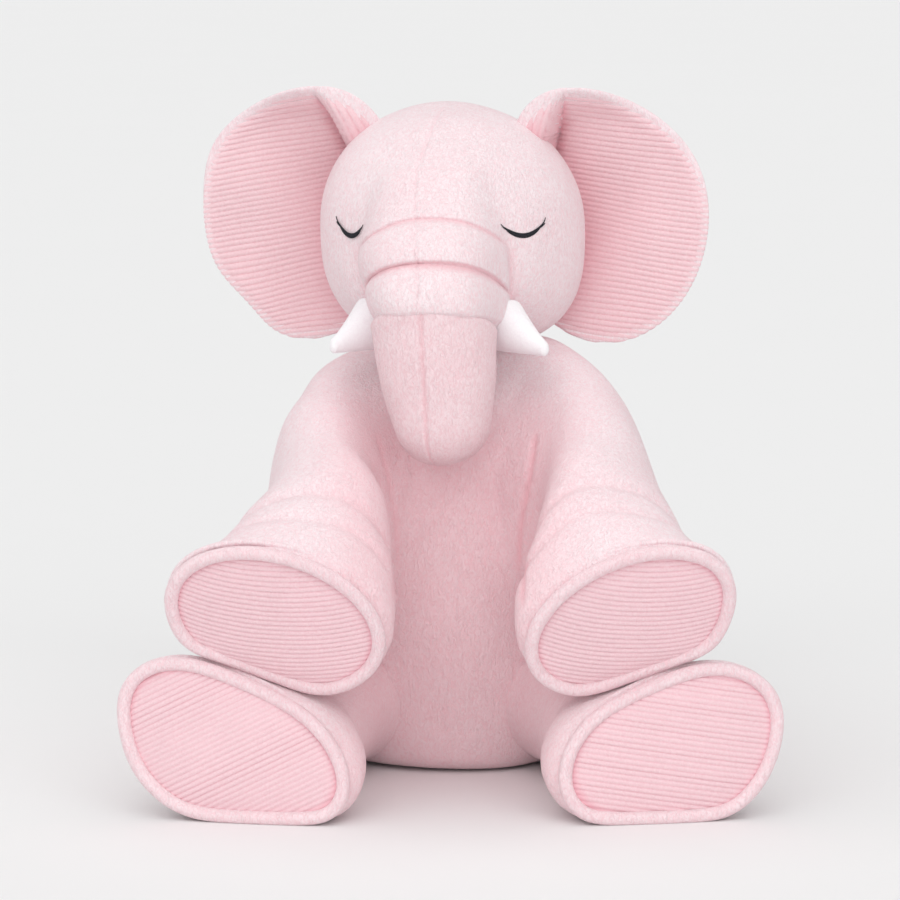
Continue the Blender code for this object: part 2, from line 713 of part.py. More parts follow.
def build_leg(label, side, body, finishes):
    """Make one leg, which lies along the floor."""
    facing = hip_flat(side)
    axes = sole_axes(side, LEG_SOLE_ROLL[label], LEG_SOLE_OUT, LEG_SOLE_DIP)
    sole = Vector((side * LEG_SOLE_CENTRE.x, LEG_SOLE_CENTRE.y, LEG_SOLE_CENTRE.z))
    sections = limb_sections(leg_root(side), facing, LEG_ROOT_HALF, LEG_ROOT_PULL, sole, axes,
                             LEG_SOLE_HALF[label])
    rules = (pressed_flat(rest_normal(side), rest_distance() - GAP / 2),
             pressed_flat(-UP, 0),
             pressed_flat(-facing, -hip_flat_distance() - GAP))
    build_limb(label + "_leg", sections, axes[0], rules, body, finishes)


def tail_root():
    """Return the middle of the tail's seam on the back of the torso."""
    return Vector((0, tail_flat_distance() + GAP, TAIL_HEIGHT))


def tail_rings(inset):
    """Return the rings of the tail from its seam to the tuft."""
    root = tail_root()
    end = root + TAIL_REACH
    rings = []
    for step in range(LIMB_LEVELS - 1):
        share = step / (LIMB_LEVELS - 2)
        pull = TAIL_REACH.length / 3
        centre = bezier(root, root - FORWARD * pull, end + UP * pull, end, share)
        ahead = (-FORWARD).lerp(-UP, smooth(share)).normalized()
        across = LEVEL_AXES[0]
        radius = TAIL_RADIUS * (1 - TAIL_TAPER * share) - inset
        rings.append(section_ring(Section(centre, across, ahead.cross(across), radius, radius), 0, (),
                                  SMALL_RING))
    return rings


def tuft_rings():
    """Return the rings of the tuft that hangs from the tail."""
    top = tail_root() + TAIL_REACH - UP * GAP
    rings = []
    for step in range(LIMB_LEVELS - 1):
        share = step / (LIMB_LEVELS - 2)
        radius = TUFT_RADIUS * math.sin(math.pi * (TUFT_NECK + TUFT_RUN * share))
        centre = top - UP * TUFT_LENGTH * share
        rings.append(section_ring(Section(centre, *LEVEL_AXES, radius, radius), 0, (), SMALL_RING))
    return rings


def build_tail(body, finishes):
    """Make the short tail with its tuft."""
    cover = skin_form(tail_rings(0), tail_rings(SKIN), open_end=True)
    add_node("tail_skin", cover, body, finishes["plush"])
    add_node("tail_stuffing", filled_form(tail_rings(SKIN + GAP)), body, finishes["filling"])
    add_node("tail_tuft", filled_form(tuft_rings()), body, finishes["plush"])


def build_elephant():
    """Build every body on its pivot and every piece on its body."""
    clear_scene()
    finishes = {
        "plush": cloth("pink_plush", (0.86, 0.66, 0.69), 0.95),
        "corduroy": cloth("pink_corduroy", (0.78, 0.49, 0.54), 0.9),
        "tusk": cloth("white_velboa", (0.90, 0.87, 0.91), 0.85),
        "thread": cloth("charcoal_thread", (0.045, 0.038, 0.05), 0.6),
        "filling": cloth("polyester_filling", (0.92, 0.92, 0.90), 1.0),
        "pouch": cloth("bead_pouch_cotton", (0.80, 0.78, 0.72), 0.9),
    }
    origin = Vector((0, 0, 0))
    torso = add_body("torso", None, origin)
    build_torso(torso, finishes)
    head_pivot = Vector((0, NECK_CENTRE_Y, TORSO_HEIGHT + GAP + neck_drop()))
    head = Body(add_body("head", torso, head_pivot, -HEAD_YAW).pivot, origin)
    build_head(head, finishes)
    trunk = add_body("trunk", head, Vector((0, -trunk_front() - GAP, MUZZLE_BOTTOM)))
    build_trunk(trunk, finishes)
    for label, side in SIDES.items():
        hinge = Vector((side * (head_edge(0) + HEAD_FIT + EAR_HINGE_OUT), EAR_RIM_BACK, 0))
        build_ear(label, side, add_body(label + "_ear", head, hinge), finishes)
        build_arm(label, side, add_body(label + "_arm", torso, arm_root(side)), finishes)
        build_leg(label, side, add_body(label + "_leg", torso, leg_hinge(side)), finishes)
    build_tail(add_body("tail", torso, tail_root()), finishes)


build_elephant()
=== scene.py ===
"""Looks of a seated plush elephant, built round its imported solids.

Metres, +Z up. The toy faces -Y and its own left side is at +X.
"""
import logging
import math
from dataclasses import dataclass, field
from enum import Enum

import bmesh
import bpy
import numpy as np
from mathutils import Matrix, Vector


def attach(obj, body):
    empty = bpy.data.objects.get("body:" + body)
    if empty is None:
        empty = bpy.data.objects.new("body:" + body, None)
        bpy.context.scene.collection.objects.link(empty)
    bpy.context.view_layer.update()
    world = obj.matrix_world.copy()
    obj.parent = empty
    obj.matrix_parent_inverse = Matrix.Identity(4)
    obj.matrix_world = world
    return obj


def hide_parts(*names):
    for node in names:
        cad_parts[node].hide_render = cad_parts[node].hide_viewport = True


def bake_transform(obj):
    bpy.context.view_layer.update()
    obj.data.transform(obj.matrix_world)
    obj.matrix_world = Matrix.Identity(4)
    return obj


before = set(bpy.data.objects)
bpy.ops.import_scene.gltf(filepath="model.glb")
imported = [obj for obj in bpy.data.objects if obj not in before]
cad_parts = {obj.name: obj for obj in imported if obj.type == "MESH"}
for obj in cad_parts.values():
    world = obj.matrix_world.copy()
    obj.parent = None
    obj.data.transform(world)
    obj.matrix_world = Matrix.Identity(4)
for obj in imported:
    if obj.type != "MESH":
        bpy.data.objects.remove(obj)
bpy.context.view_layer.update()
LOG = logging.getLogger("elephant")
Array = np.ndarray
UP = np.array((0.0, 0.0, 1.0))


class Side(Enum):
    """The toy's own sides, with the sign of X on each."""

    LEFT = 1
    RIGHT = -1

    @property
    def label(self) -> str:
        """The side's name as the bodies and nodes spell it."""
        return self.name.lower()


# ---------------------------------------------------------------- small tools


def unit(vector: Array) -> Array:
    """Return the vector at length one."""
    return vector / np.linalg.norm(vector)


def ease(low: float, high: float, value: Array) -> Array:
    """Return 0 below low, 1 above high and a smooth step between them.

    Args:
        low: Where the step starts.
        high: Where the step ends; it may be the lower number.
        value: Where the step is read.

    Returns:
        The step's height at each value.
    """
    share = np.clip((value - low) / (high - low), 0, 1)
    return share * share * (3 - 2 * share)


def bezier(ends: tuple[Array, Array, Array, Array], share: float) -> Array:
    """Return a point of a cubic curve given by its four control points."""
    a, b, c, d = ends
    rest = 1 - share
    return a * rest**3 + b * 3 * rest**2 * share + c * 3 * rest * share**2 + d * share**3


def pressed(points: Array, normal: Array, distance: float, softness: float = 0.0015) -> Array:
    """Return the points pushed softly behind a plane.

    Args:
        points: Points in rows of three.
        normal: The way out of the plane.
        distance: The plane's distance from the origin along the normal.
        softness: How wide the bend at the edge of the pressed flat is.

    Returns:
        The points, none of them beyond the plane.
    """
    over = points @ normal - distance
    held = -softness * np.logaddexp(0, -over / softness)
    return points + (held - over)[..., None] * normal


def add_piece(name: str, points: Array, faces: list, edges: list | None = None) -> bpy.types.Object:
    """Make a mesh object at the origin.

    Args:
        name: Name of the piece.
        points: Its points, in rows of three.
        faces: Its faces, as tuples of point numbers.
        edges: Edges that no face has, for a path.

    Returns:
        The new object.
    """
    mesh = bpy.data.meshes.new(name)
    mesh.from_pydata(np.asarray(points).reshape(-1, 3).tolist(), edges or [], faces)
    mesh.shade_smooth()
    piece = bpy.data.objects.new(name, mesh)
    bpy.context.scene.collection.objects.link(piece)
    return piece


def face_outwards(piece: bpy.types.Object) -> None:
    """Turn every face of a closed piece outwards."""
    form = bmesh.new()
    form.from_mesh(piece.data)
    bmesh.ops.recalc_face_normals(form, faces=form.faces)
    form.to_mesh(piece.data)
    form.free()
    piece.data.shade_smooth()


def loft(rings: Array) -> tuple[Array, list]:
    """Join rings of points into a closed form.

    Args:
        rings: Points by ring, by place round the ring and by axis.

    Returns:
        The points and the faces, with a hub at each end.
    """
    rows, around, _ = rings.shape
    points = np.vstack([rings.reshape(-1, 3), rings[0].mean(axis=0), rings[-1].mean(axis=0)])
    faces = []
    for row in range(rows - 1):
        for step in range(around):
            after = (step + 1) % around
            a, b = row * around, (row + 1) * around
            faces.append((a + step, a + after, b + after, b + step))
    first, last = rows * around, (rows - 1) * around
    for step in range(around):
        after = (step + 1) % around
        faces.append((first, after, step))
        faces.append((first + 1, last + step, last + after))
    return points, faces


def add_loft(name: str, rings: Array) -> bpy.types.Object:
    """Make a closed piece from rings of points."""
    piece = add_piece(name, *loft(rings))
    face_outwards(piece)
    return piece


def read_points(mesh: bpy.types.Mesh) -> Array:
    """Return a mesh's points in rows of three."""
    points = np.empty(len(mesh.vertices) * 3)
    mesh.vertices.foreach_get("co", points)
    return points.reshape(-1, 3)


def write_points(mesh: bpy.types.Mesh, points: Array) -> None:
    """Give a mesh new places for its points."""
    mesh.vertices.foreach_set("co", np.asarray(points, dtype=np.float32).ravel())
    mesh.update()


def read_normals(mesh: bpy.types.Mesh) -> Array:
    """Return the normals of a mesh's points in rows of three."""
    normals = np.empty(len(mesh.vertices) * 3)
    mesh.vertex_normals.foreach_get("vector", normals)
    return normals.reshape(-1, 3)


def keep_value(piece: bpy.types.Object, name: str, values: Array) -> None:
    """Keep a number for each point of a piece under a name."""
    kept = piece.data.attributes.new(name, "FLOAT", "POINT")
    kept.data.foreach_set("value", np.asarray(values, dtype=np.float32).ravel())


def keep_seam(piece: bpy.types.Object, values: Array) -> None:
    """Keep each point's share of deeper pink, for seams and painted shade, with none at the hubs of a lofted piece."""
    keep_value(piece, "seam", np.pad(np.asarray(values).ravel(), (0, 2)))


def oval_rings(centre: tuple[float, float, float], half: tuple[float, float, float]) -> Array:
    """Return the rings of an egg of filling."""
    turns = np.linspace(0, 2 * math.pi, 49)[:-1]
    rises = np.linspace(-math.pi / 2 + 0.06, math.pi / 2 - 0.06, 25)
    flat = np.stack([np.outer(np.cos(rises), np.cos(turns)), np.outer(np.cos(rises), np.sin(turns)),
                     np.outer(np.sin(rises), np.ones_like(turns))], axis=-1)
    return flat * np.array(half) + np.array(centre)


def settle(piece: bpy.types.Object) -> None:
    """Replace a piece's mesh by what its modifiers make of it."""
    graph = bpy.context.evaluated_depsgraph_get()
    mesh = bpy.data.meshes.new_from_object(piece.evaluated_get(graph), preserve_all_data_layers=True,
                                           depsgraph=graph)
    piece.modifiers.clear()
    old, piece.data = piece.data, mesh
    bpy.data.meshes.remove(old)
    mesh.name = piece.name


def weld(piece: bpy.types.Object, voxel: float, rounds: int) -> None:
    """Fuse overlapping forms into one skin and soften where they meet.

    Args:
        piece: The piece that holds the overlapping forms.
        voxel: Size of the voxels of the new skin.
        rounds: How often the new skin is smoothed.
    """
    remesh = piece.modifiers.new("skin", "REMESH")
    remesh.mode, remesh.voxel_size, remesh.use_smooth_shade = "VOXEL", voxel, True
    relax = piece.modifiers.new("relax", "SMOOTH")
    relax.factor, relax.iterations = 0.5, rounds
    settle(piece)


def soften(piece: bpy.types.Object, weights: Array, rounds: int) -> None:
    """Smooth a piece where its weights say, so that forms flow into each other.

    Args:
        piece: The piece to smooth.
        weights: For each point, 1 where it is smoothed in full.
        rounds: How often it is smoothed.
    """
    group = piece.vertex_groups.new(name="soft")
    for index in np.flatnonzero(weights > 0.01):
        group.add([int(index)], float(weights[index]), "REPLACE")
    relax = piece.modifiers.new("flow", "SMOOTH")
    relax.factor, relax.iterations, relax.vertex_group = 0.5, rounds, group.name
    settle(piece)
    piece.vertex_groups.clear()


def refine(piece: bpy.types.Object, levels: int = 1) -> None:
    """Subdivide a piece smoothly and keep the result."""
    finer = piece.modifiers.new("finer", "SUBSURF")
    finer.levels = finer.render_levels = levels
    settle(piece)
    piece.data.shade_smooth()


def inflate(piece: bpy.types.Object, held: Array, limit: float, pressure: float = 4.0) -> None:
    """Let the filling swell a cloth skin.

    Args:
        piece: The closed skin.
        held: For each point, 1 where a seam holds it and 0 where it is free.
        limit: The furthest that a point may move.
        pressure: Pressure of the filling.
    """
    before = read_points(piece.data)
    group = piece.vertex_groups.new(name="seams")
    for index in np.flatnonzero(held > 0.01):
        group.add([int(index)], float(held[index]), "REPLACE")
    cloth = piece.modifiers.new("filling", "CLOTH")
    rules = cloth.settings
    rules.quality, rules.mass = 5, 0.3
    rules.tension_stiffness = rules.compression_stiffness = 15
    rules.shear_stiffness, rules.bending_stiffness = 5, 0.5
    rules.use_pressure, rules.uniform_pressure_force = True, pressure
    rules.effector_weights.gravity = 0
    rules.vertex_group_mass = group.name
    cloth.point_cache.frame_start, cloth.point_cache.frame_end = 1, 20
    for step in range(1, 21):
        bpy.context.scene.frame_set(step)
    graph = bpy.context.evaluated_depsgraph_get()
    move = read_points(piece.evaluated_get(graph).data) - before
    piece.modifiers.clear()
    piece.vertex_groups.clear()
    bpy.context.scene.frame_set(1)
    length = np.linalg.norm(move, axis=1, keepdims=True)
    write_points(piece.data, before + move * np.minimum(1, limit / np.maximum(length, 1e-9)))


def wander(points: Array, length: float, seed: int) -> Array:
    """Return a smooth wandering value between about -1 and 1 for each point.

    Args:
        points: Points in rows of three.
        length: The length over which the value changes.
        seed: Picks one of many such fields.

    Returns:
        One value for each point.
    """
    dice = np.random.default_rng(seed)
    total = np.zeros(points.shape[:-1])
    for _ in range(9):
        way = unit(dice.normal(size=3)) * dice.uniform(0.6, 1.5) * 2 * math.pi / length
        total = total + np.sin(points @ way + dice.uniform(0, 2 * math.pi))
    return total / 4.5


# ---------------------------------------------------------------- finishes


class ShaderSketch:
    """A material while its nodes are wired."""

    def __init__(self, name: str) -> None:
        """Start a material with one principled shader."""
        self.material = bpy.data.materials.new(name)
        self.material.use_nodes = True
        self.tree = self.material.node_tree
        self.shader = self.tree.nodes["Principled BSDF"]
        self.place = self.tree.nodes.new("ShaderNodeTexCoord").outputs["Object"]

    def wire(self, socket: bpy.types.NodeSocket, value: object) -> None:
        """Link a socket to another one, or set its number or colour."""
        if isinstance(value, bpy.types.NodeSocket):
            self.tree.links.new(value, socket)
        else:
            socket.default_value = value

    def noise(self, scale: float, detail: float, stretch: tuple = (1, 1, 1),
              twist: float = 0.0) -> bpy.types.NodeSocket:
        """Add a noise on Object coordinates.

        Args:
            scale: Waves for each metre.
            detail: Octaves of finer noise.
            stretch: Scale along each axis.
            twist: How far the noise is swirled.

        Returns:
            The noise's factor.
        """
        mapping = self.tree.nodes.new("ShaderNodeMapping")
        self.wire(mapping.inputs["Vector"], self.place)
        mapping.inputs["Scale"].default_value = stretch
        noise = self.tree.nodes.new("ShaderNodeTexNoise")
        self.wire(noise.inputs["Vector"], mapping.outputs["Vector"])
        noise.inputs["Scale"].default_value = scale
        noise.inputs["Detail"].default_value = detail
        noise.inputs["Roughness"].default_value = 0.6
        noise.inputs["Distortion"].default_value = twist
        return noise.outputs["Factor"] if "Factor" in noise.outputs else noise.outputs[0]

    def value_of(self, name: str) -> bpy.types.NodeSocket:
        """Read a number that the piece keeps for each point."""
        node = self.tree.nodes.new("ShaderNodeAttribute")
        node.attribute_name = name
        return node.outputs["Fac"]

    def ramp(self, factor: bpy.types.NodeSocket, stops: tuple) -> bpy.types.NodeSocket:
        """Turn a factor into a colour.

        Args:
            factor: The factor to read.
            stops: Pairs of a place and a colour.

        Returns:
            The colour.
        """
        node = self.tree.nodes.new("ShaderNodeValToRGB")
        self.wire(node.inputs["Fac"], factor)
        line = node.color_ramp.elements
        while len(line) < len(stops):
            line.new(0.5)
        for stop, (place, colour) in zip(line, stops):
            stop.position, stop.color = place, (*colour, 1)
        return node.outputs["Color"]

    def mix(self, factor: object, first: object, second: object,
            kind: str = "MIX") -> bpy.types.NodeSocket:
        """Mix two colours.

        Args:
            factor: How much of the second colour.
            first: The first colour.
            second: The second colour.
            kind: How they are mixed.

        Returns:
            The mixed colour.
        """
        node = self.tree.nodes.new("ShaderNodeMix")
        node.data_type, node.blend_type = "RGBA", kind
        self.wire(node.inputs[0], factor)
        self.wire(node.inputs[6], first)
        self.wire(node.inputs[7], second)
        return node.outputs[2]

    def bump(self, height: bpy.types.NodeSocket, strength: float, depth: float,
             under: bpy.types.NodeSocket | None = None) -> bpy.types.NodeSocket:
        """Add a bump.

        Args:
            height: The height to read.
            strength: How strong the bump is.
            depth: The height's full depth.
            under: A bump that this one lies on.

        Returns:
            The bumped normal.
        """
        node = self.tree.nodes.new("ShaderNodeBump")
        node.inputs["Strength"].default_value = strength
        node.inputs["Distance"].default_value = depth
        self.wire(node.inputs["Height"], height)
        if under is not None:
            self.wire(node.inputs["Normal"], under)
        return node.outputs["Normal"]

    def finish(self, roughness: float, sheen: float, sheen_tint: tuple) -> bpy.types.Material:
        """Set what is the same all over the cloth and return the material."""
        self.shader.inputs["Roughness"].default_value = roughness
        self.shader.inputs["Specular IOR Level"].default_value = 0.12
        self.shader.inputs["Sheen Weight"].default_value = sheen
        self.shader.inputs["Sheen Roughness"].default_value = 0.45
        self.shader.inputs["Sheen Tint"].default_value = (*sheen_tint, 1)
        return self.material


@dataclass(frozen=True)
class PlushFinish:
    """Short plush pile, crushed in patches so that it catches the light unevenly; that uneven sheen is painted into the
    colour as paler and deeper pink patches.
    """

    name: str
    lit: tuple[float, float, float]
    shade: tuple[float, float, float]
    patch: float = 15.0
    pile: float = 700.0
    depth: float = 0.0012
    sheen: float = 0.22
    blush: float = 1.0

    def material(self) -> bpy.types.Material:
        """Make the material."""
        sketch = ShaderSketch(self.name)
        # Paler and deeper pink patches: partly the pile's own uneven tone, partly painted sheen of the crushed nap.
        tone = sketch.ramp(sketch.noise(self.patch, 3), ((0.30, self.shade), (0.70, self.lit)))
        # The same noise raises the pile's bump, so the tufts' tops are painted pale and the gaps between them deeper
        # pink: painted highlight and shade on the pile's own grain.
        strokes = sketch.noise(self.pile, 3, (1, 1, 0.48), 1.3)
        dark = tuple(channel * (1 - self.blush * drop) for channel, drop in zip(self.shade, (0.04, 0.23, 0.20)))
        pale = tuple(min(1, channel * 1.08) for channel in self.lit)
        tone = sketch.mix(0.38, tone, sketch.ramp(strokes, ((0.38, dark), (0.58, pale))))
        # Deeper pink mixed in by the seam value: the seams' own colour, with painted shade in tucks, creases and
        # recesses and on the chest between the arms.
        deep = tuple(channel * share for channel, share in zip(self.shade, (1.02, 0.68, 0.72)))
        tone = sketch.mix(sketch.value_of("seam"), tone, (*deep, 1))
        sketch.wire(sketch.shader.inputs["Base Color"], tone)
        normal = sketch.bump(sketch.noise(self.pile * 0.3, 3, twist=0.8), 0.25, self.depth)
        sketch.wire(sketch.shader.inputs["Normal"], sketch.bump(strokes, 0.9, self.depth * 0.9, normal))
        return sketch.finish(0.92, self.sheen, (1.0, 0.93, 0.94))


@dataclass(frozen=True)
class CorduroyFinish:
    """Ribbed cloth whose crests are paler, partly brushed and partly painted light, and whose furrows are painted
    deeper pink as shade.
    """

    name: str
    crest: tuple[float, float, float]
    furrow: tuple[float, float, float]

    def material(self) -> bpy.types.Material:
        """Make the material."""
        sketch = ShaderSketch(self.name)
        # Painted shade and light: the furrows between the ribs deeper pink, the crests paler.
        tone = sketch.ramp(sketch.value_of("crest"), ((0.05, self.furrow), (0.75, self.crest)))
        brushed = tuple(min(1, channel * 1.05) for channel in self.crest)
        worn = tuple(channel * 0.93 for channel in self.crest)
        tone = sketch.mix(0.32, tone, sketch.ramp(sketch.noise(46, 4), ((0.35, worn), (0.65, brushed))),
                          "MULTIPLY")
        nap = sketch.noise(780, 3, twist=0.6)
        # The nap noise also raises the bump, so its raised fibres are painted pale and its low ones deeper pink:
        # painted highlight and shade on the cloth's own grain.
        tone = sketch.mix(0.30, tone, sketch.ramp(nap, ((0.36, self.furrow), (0.62, brushed))))
        # Deeper pink mixed in by the seam value, which here is painted shade in the ear's fold crease and recess and
        # round the pad's rim.
        deep = tuple(channel * share for channel, share in zip(self.furrow, (0.98, 0.86, 0.88)))
        tone = sketch.mix(sketch.value_of("seam"), tone, (*deep, 1))
        sketch.wire(sketch.shader.inputs["Base Color"], tone)
        sketch.wire(sketch.shader.inputs["Normal"], sketch.bump(nap, 0.5, 0.0008))
        return sketch.finish(0.9, 0.3, (1.0, 0.92, 0.93))


@dataclass(frozen=True)
class ThreadFinish:
    """Dark embroidery thread with a soft gloss along its twist."""

    name: str
    dark: tuple[float, float, float]
    pale: tuple[float, float, float]

    def material(self) -> bpy.types.Material:
        """Make the material."""
        sketch = ShaderSketch(self.name)
        twist = sketch.noise(1500, 2)
        sketch.wire(sketch.shader.inputs["Base Color"],
                    sketch.ramp(twist, ((0.3, self.dark), (0.8, self.pale))))
        sketch.wire(sketch.shader.inputs["Normal"], sketch.bump(twist, 0.3, 0.0003))
        return sketch.finish(0.55, 0.05, (0.8, 0.8, 0.85))


@dataclass(frozen=True)
class FloorFinish:
    """Plain pale studio floor."""

    name: str
    tone: float

    def material(self) -> bpy.types.Material:
        """Make the material."""
        sketch = ShaderSketch(self.name)
        low, high = (self.tone * 0.997,) * 3, (self.tone,) * 3
        sketch.wire(sketch.shader.inputs["Base Color"],
                    sketch.ramp(sketch.noise(3, 2), ((0.3, low), (0.7, high))))
        return sketch.finish(1.0, 0.0, (1, 1, 1))


@dataclass
class Wardrobe:
    """The finishes of the toy, each made once."""

    plush: bpy.types.Material = field(init=False)
    trunk_plush: bpy.types.Material = field(init=False)
    welt: bpy.types.Material = field(init=False)
    corduroy: bpy.types.Material = field(init=False)
    ear_corduroy: bpy.types.Material = field(init=False)
    velboa: bpy.types.Material = field(init=False)
    thread: bpy.types.Material = field(init=False)
    floor: bpy.types.Material = field(init=False)

    def __post_init__(self) -> None:
        """Make the materials."""
        self.plush = PlushFinish("pink_plush", (0.98, 0.845, 0.87), (0.968, 0.76, 0.795)).material()
        # A deeper pink copy of the plush for the trunk: partly a differently brushed pile, partly painted shade on the
        # trunk's front.
        self.trunk_plush = PlushFinish("pink_trunk_plush", (0.94, 0.76, 0.79), (0.92, 0.675, 0.71)).material()
        self.welt = PlushFinish("pink_welt", (0.97, 0.785, 0.815), (0.955, 0.71, 0.75)).material()
        self.corduroy = CorduroyFinish("pink_sole_corduroy", (0.925, 0.705, 0.74),
                                       (0.89, 0.54, 0.60)).material()
        self.ear_corduroy = CorduroyFinish("pink_ear_corduroy", (0.93, 0.72, 0.75),
                                           (0.87, 0.51, 0.56)).material()
        self.velboa = PlushFinish("white_velboa", (0.965, 0.945, 0.965), (0.94, 0.905, 0.935),
                                  pile=900, depth=0.0003, sheen=0.15, blush=0.12).material()
        self.thread = ThreadFinish("charcoal_thread", (0.010, 0.010, 0.014), (0.05, 0.05, 0.06)).material()
        self.floor = FloorFinish("pale_floor", 0.86).material()


# ---------------------------------------------------------------- node trees


class TreeSketch:
    """A geometry tree while its nodes are wired, with its named inputs."""

    def __init__(self, name: str, sizes: dict[str, float]) -> None:
        """Start a tree.

        Args:
            name: Name of the tree.
            sizes: Its named inputs with what they are unless set.
        """
        self.tree = bpy.data.node_groups.new(name, "GeometryNodeTree")
        face = self.tree.interface
        face.new_socket("Geometry", in_out="INPUT", socket_type="NodeSocketGeometry")
        for label, value in sizes.items():
            face.new_socket(label, in_out="INPUT", socket_type="NodeSocketFloat").default_value = value
        face.new_socket("Finish", in_out="INPUT", socket_type="NodeSocketMaterial")
        face.new_socket("Geometry", in_out="OUTPUT", socket_type="NodeSocketGeometry")
        self.inputs = self.tree.nodes.new("NodeGroupInput").outputs
        self.result = self.tree.nodes.new("NodeGroupOutput").inputs["Geometry"]

    def wire(self, socket: bpy.types.NodeSocket, value: object) -> None:
        """Link a socket to another one, or set its value."""
        if isinstance(value, bpy.types.NodeSocket):
            self.tree.links.new(value, socket)
        else:
            socket.default_value = value

    def add(self, kind: str, feeds: dict | None = None, **rules: object) -> bpy.types.Node:
        """Add a node.

        Args:
            kind: The node's type.
            feeds: What goes into its sockets, by name or number.
            **rules: The node's own settings.

        Returns:
            The new node.
        """
        node = self.tree.nodes.new(kind)
        for rule, value in rules.items():
            setattr(node, rule, value)
        for socket, value in (feeds or {}).items():
            self.wire(node.inputs[socket], value)
        return node

    def sum(self, operation: str, first: object, second: object = 0.0) -> bpy.types.NodeSocket:
        """Add a math node and return its value."""
        return self.add("ShaderNodeMath", {0: first, 1: second}, operation=operation).outputs[0]

    def scaled(self, vector: bpy.types.NodeSocket, factor: object) -> bpy.types.NodeSocket:
        """Return a vector times a number."""
        return self.add("ShaderNodeVectorMath", {"Vector": vector, "Scale": factor},
                        operation="SCALE").outputs["Vector"]

    def value_of(self, name: str, kind: str = "FLOAT") -> bpy.types.NodeSocket:
        """Read what the geometry keeps under a name."""
        return self.add("GeometryNodeInputNamedAttribute", {"Name": name}, data_type=kind).outputs[0]

    def close(self, geometry: bpy.types.NodeSocket) -> None:
        """End the tree: real geometry, smooth, in its finish."""
        real = self.add("GeometryNodeRealizeInstances", {"Geometry": geometry})
        smooth = self.add("GeometryNodeSetShadeSmooth", {"Geometry": real.outputs[0]})
        dressed = self.add("GeometryNodeSetMaterial",
                           {"Geometry": smooth.outputs[0], "Material": self.inputs["Finish"]})
        self.wire(self.result, dressed.outputs[0])

    def bake(self, piece: bpy.types.Object, finish: bpy.types.Material, **sizes: float) -> None:
        """Run the tree on a piece and keep the result as its mesh.

        Args:
            piece: The piece to run on.
            finish: The material of the result.
            **sizes: Inputs that differ from what they are unless set, with _ for a space.
        """
        modifier = piece.modifiers.new(self.tree.name, "NODES")
        modifier.node_group = self.tree
        wanted = {label.replace("_", " ").title(): value for label, value in sizes.items()}
        wanted["Finish"] = finish
        for item in self.tree.interface.items_tree:
            if item.in_out == "INPUT" and item.name in wanted:
                modifier[item.identifier] = wanted[item.name]
        settle(piece)


class RibbedCloth(TreeSketch):
    """Raises the ribs of corduroy from the rib value that a cloth's points keep."""

    def __init__(self) -> None:
        """Wire the tree."""
        super().__init__("ribbed_cloth", {"Pitch": 0.0032, "Height": 0.00095, "Roundness": 3.2})
        place = self.sum("DIVIDE", self.value_of("rib"), self.inputs["Pitch"])
        off = self.sum("ABSOLUTE", self.sum("MULTIPLY_ADD", self.sum("FRACT", place), 2.0))
        off.node.inputs[0].links[0].from_node.inputs[2].default_value = -1.0
        crest = self.sum("SUBTRACT", 1.0, self.sum("POWER", off, self.inputs["Roundness"]))
        kept = self.add("GeometryNodeStoreNamedAttribute",
                        {"Geometry": self.inputs["Geometry"], "Name": "crest", "Value": crest},
                        data_type="FLOAT", domain="POINT")
        rise = self.sum("MULTIPLY", self.sum("SUBTRACT", crest, 0.6), self.inputs["Height"])
        rise = self.sum("MULTIPLY", rise, self.value_of("show"))
        normal = self.add("GeometryNodeInputNormal").outputs[0]
        moved = self.add("GeometryNodeSetPosition",
                         {"Geometry": kept.outputs[0], "Offset": self.scaled(normal, rise)})
        self.close(moved.outputs[0])


class RolledWelt(TreeSketch):
    """Rolls cloth round a closed path, a little puckered by its stitches."""

    def __init__(self) -> None:
        """Wire the tree."""
        super().__init__("rolled_welt", {"Radius": 0.0052, "Pucker": 0.0005})
        path = self.add("GeometryNodeMeshToCurve", {"Mesh": self.inputs["Geometry"]})
        ring = self.add("GeometryNodeCurvePrimitiveCircle",
                        {"Resolution": 18, "Radius": self.inputs["Radius"]})
        roll = self.add("GeometryNodeCurveToMesh",
                        {"Curve": path.outputs[0], "Profile Curve": ring.outputs["Curve"]})
        lumps = self.add("ShaderNodeTexNoise", {"Scale": 95.0, "Detail": 2.0})
        swell = self.sum("SUBTRACT", lumps.outputs[0], 0.5)
        swell = self.sum("MULTIPLY", swell, self.inputs["Pucker"])
        normal = self.add("GeometryNodeInputNormal").outputs[0]
        moved = self.add("GeometryNodeSetPosition",
                         {"Geometry": roll.outputs[0], "Offset": self.scaled(normal, swell)})
        self.close(moved.outputs[0])


class SatinStitch(TreeSketch):
    """Lays threads side by side across a path, each as wide as the path says."""

    def __init__(self) -> None:
        """Wire the tree."""
        super().__init__("satin_stitch", {"Spacing": 0.00042, "Thread": 0.00034})
        path = self.add("GeometryNodeMeshToCurve", {"Mesh": self.inputs["Geometry"]})
        even = self.add("GeometryNodeResampleCurve",
                        {"Curve": path.outputs[0], "Length": self.inputs["Spacing"]}, mode="LENGTH")
        thread = self.add("GeometryNodeMeshUVSphere",
                          {"Segments": 6, "Rings": 5, "Radius": 1.0})
        turn = self.add("FunctionNodeAlignRotationToVector",
                        {"Vector": self.value_of("across", "FLOAT_VECTOR")}, axis="Z")
        size = self.add("ShaderNodeCombineXYZ", {"X": self.inputs["Thread"], "Y": self.inputs["Thread"],
                                                 "Z": self.value_of("span")})
        laid = self.add("GeometryNodeInstanceOnPoints",
                        {"Points": even.outputs[0], "Instance": thread.outputs["Mesh"],
                         "Rotation": turn.outputs[0], "Scale": size.outputs[0]})
        self.close(laid.outputs[0])


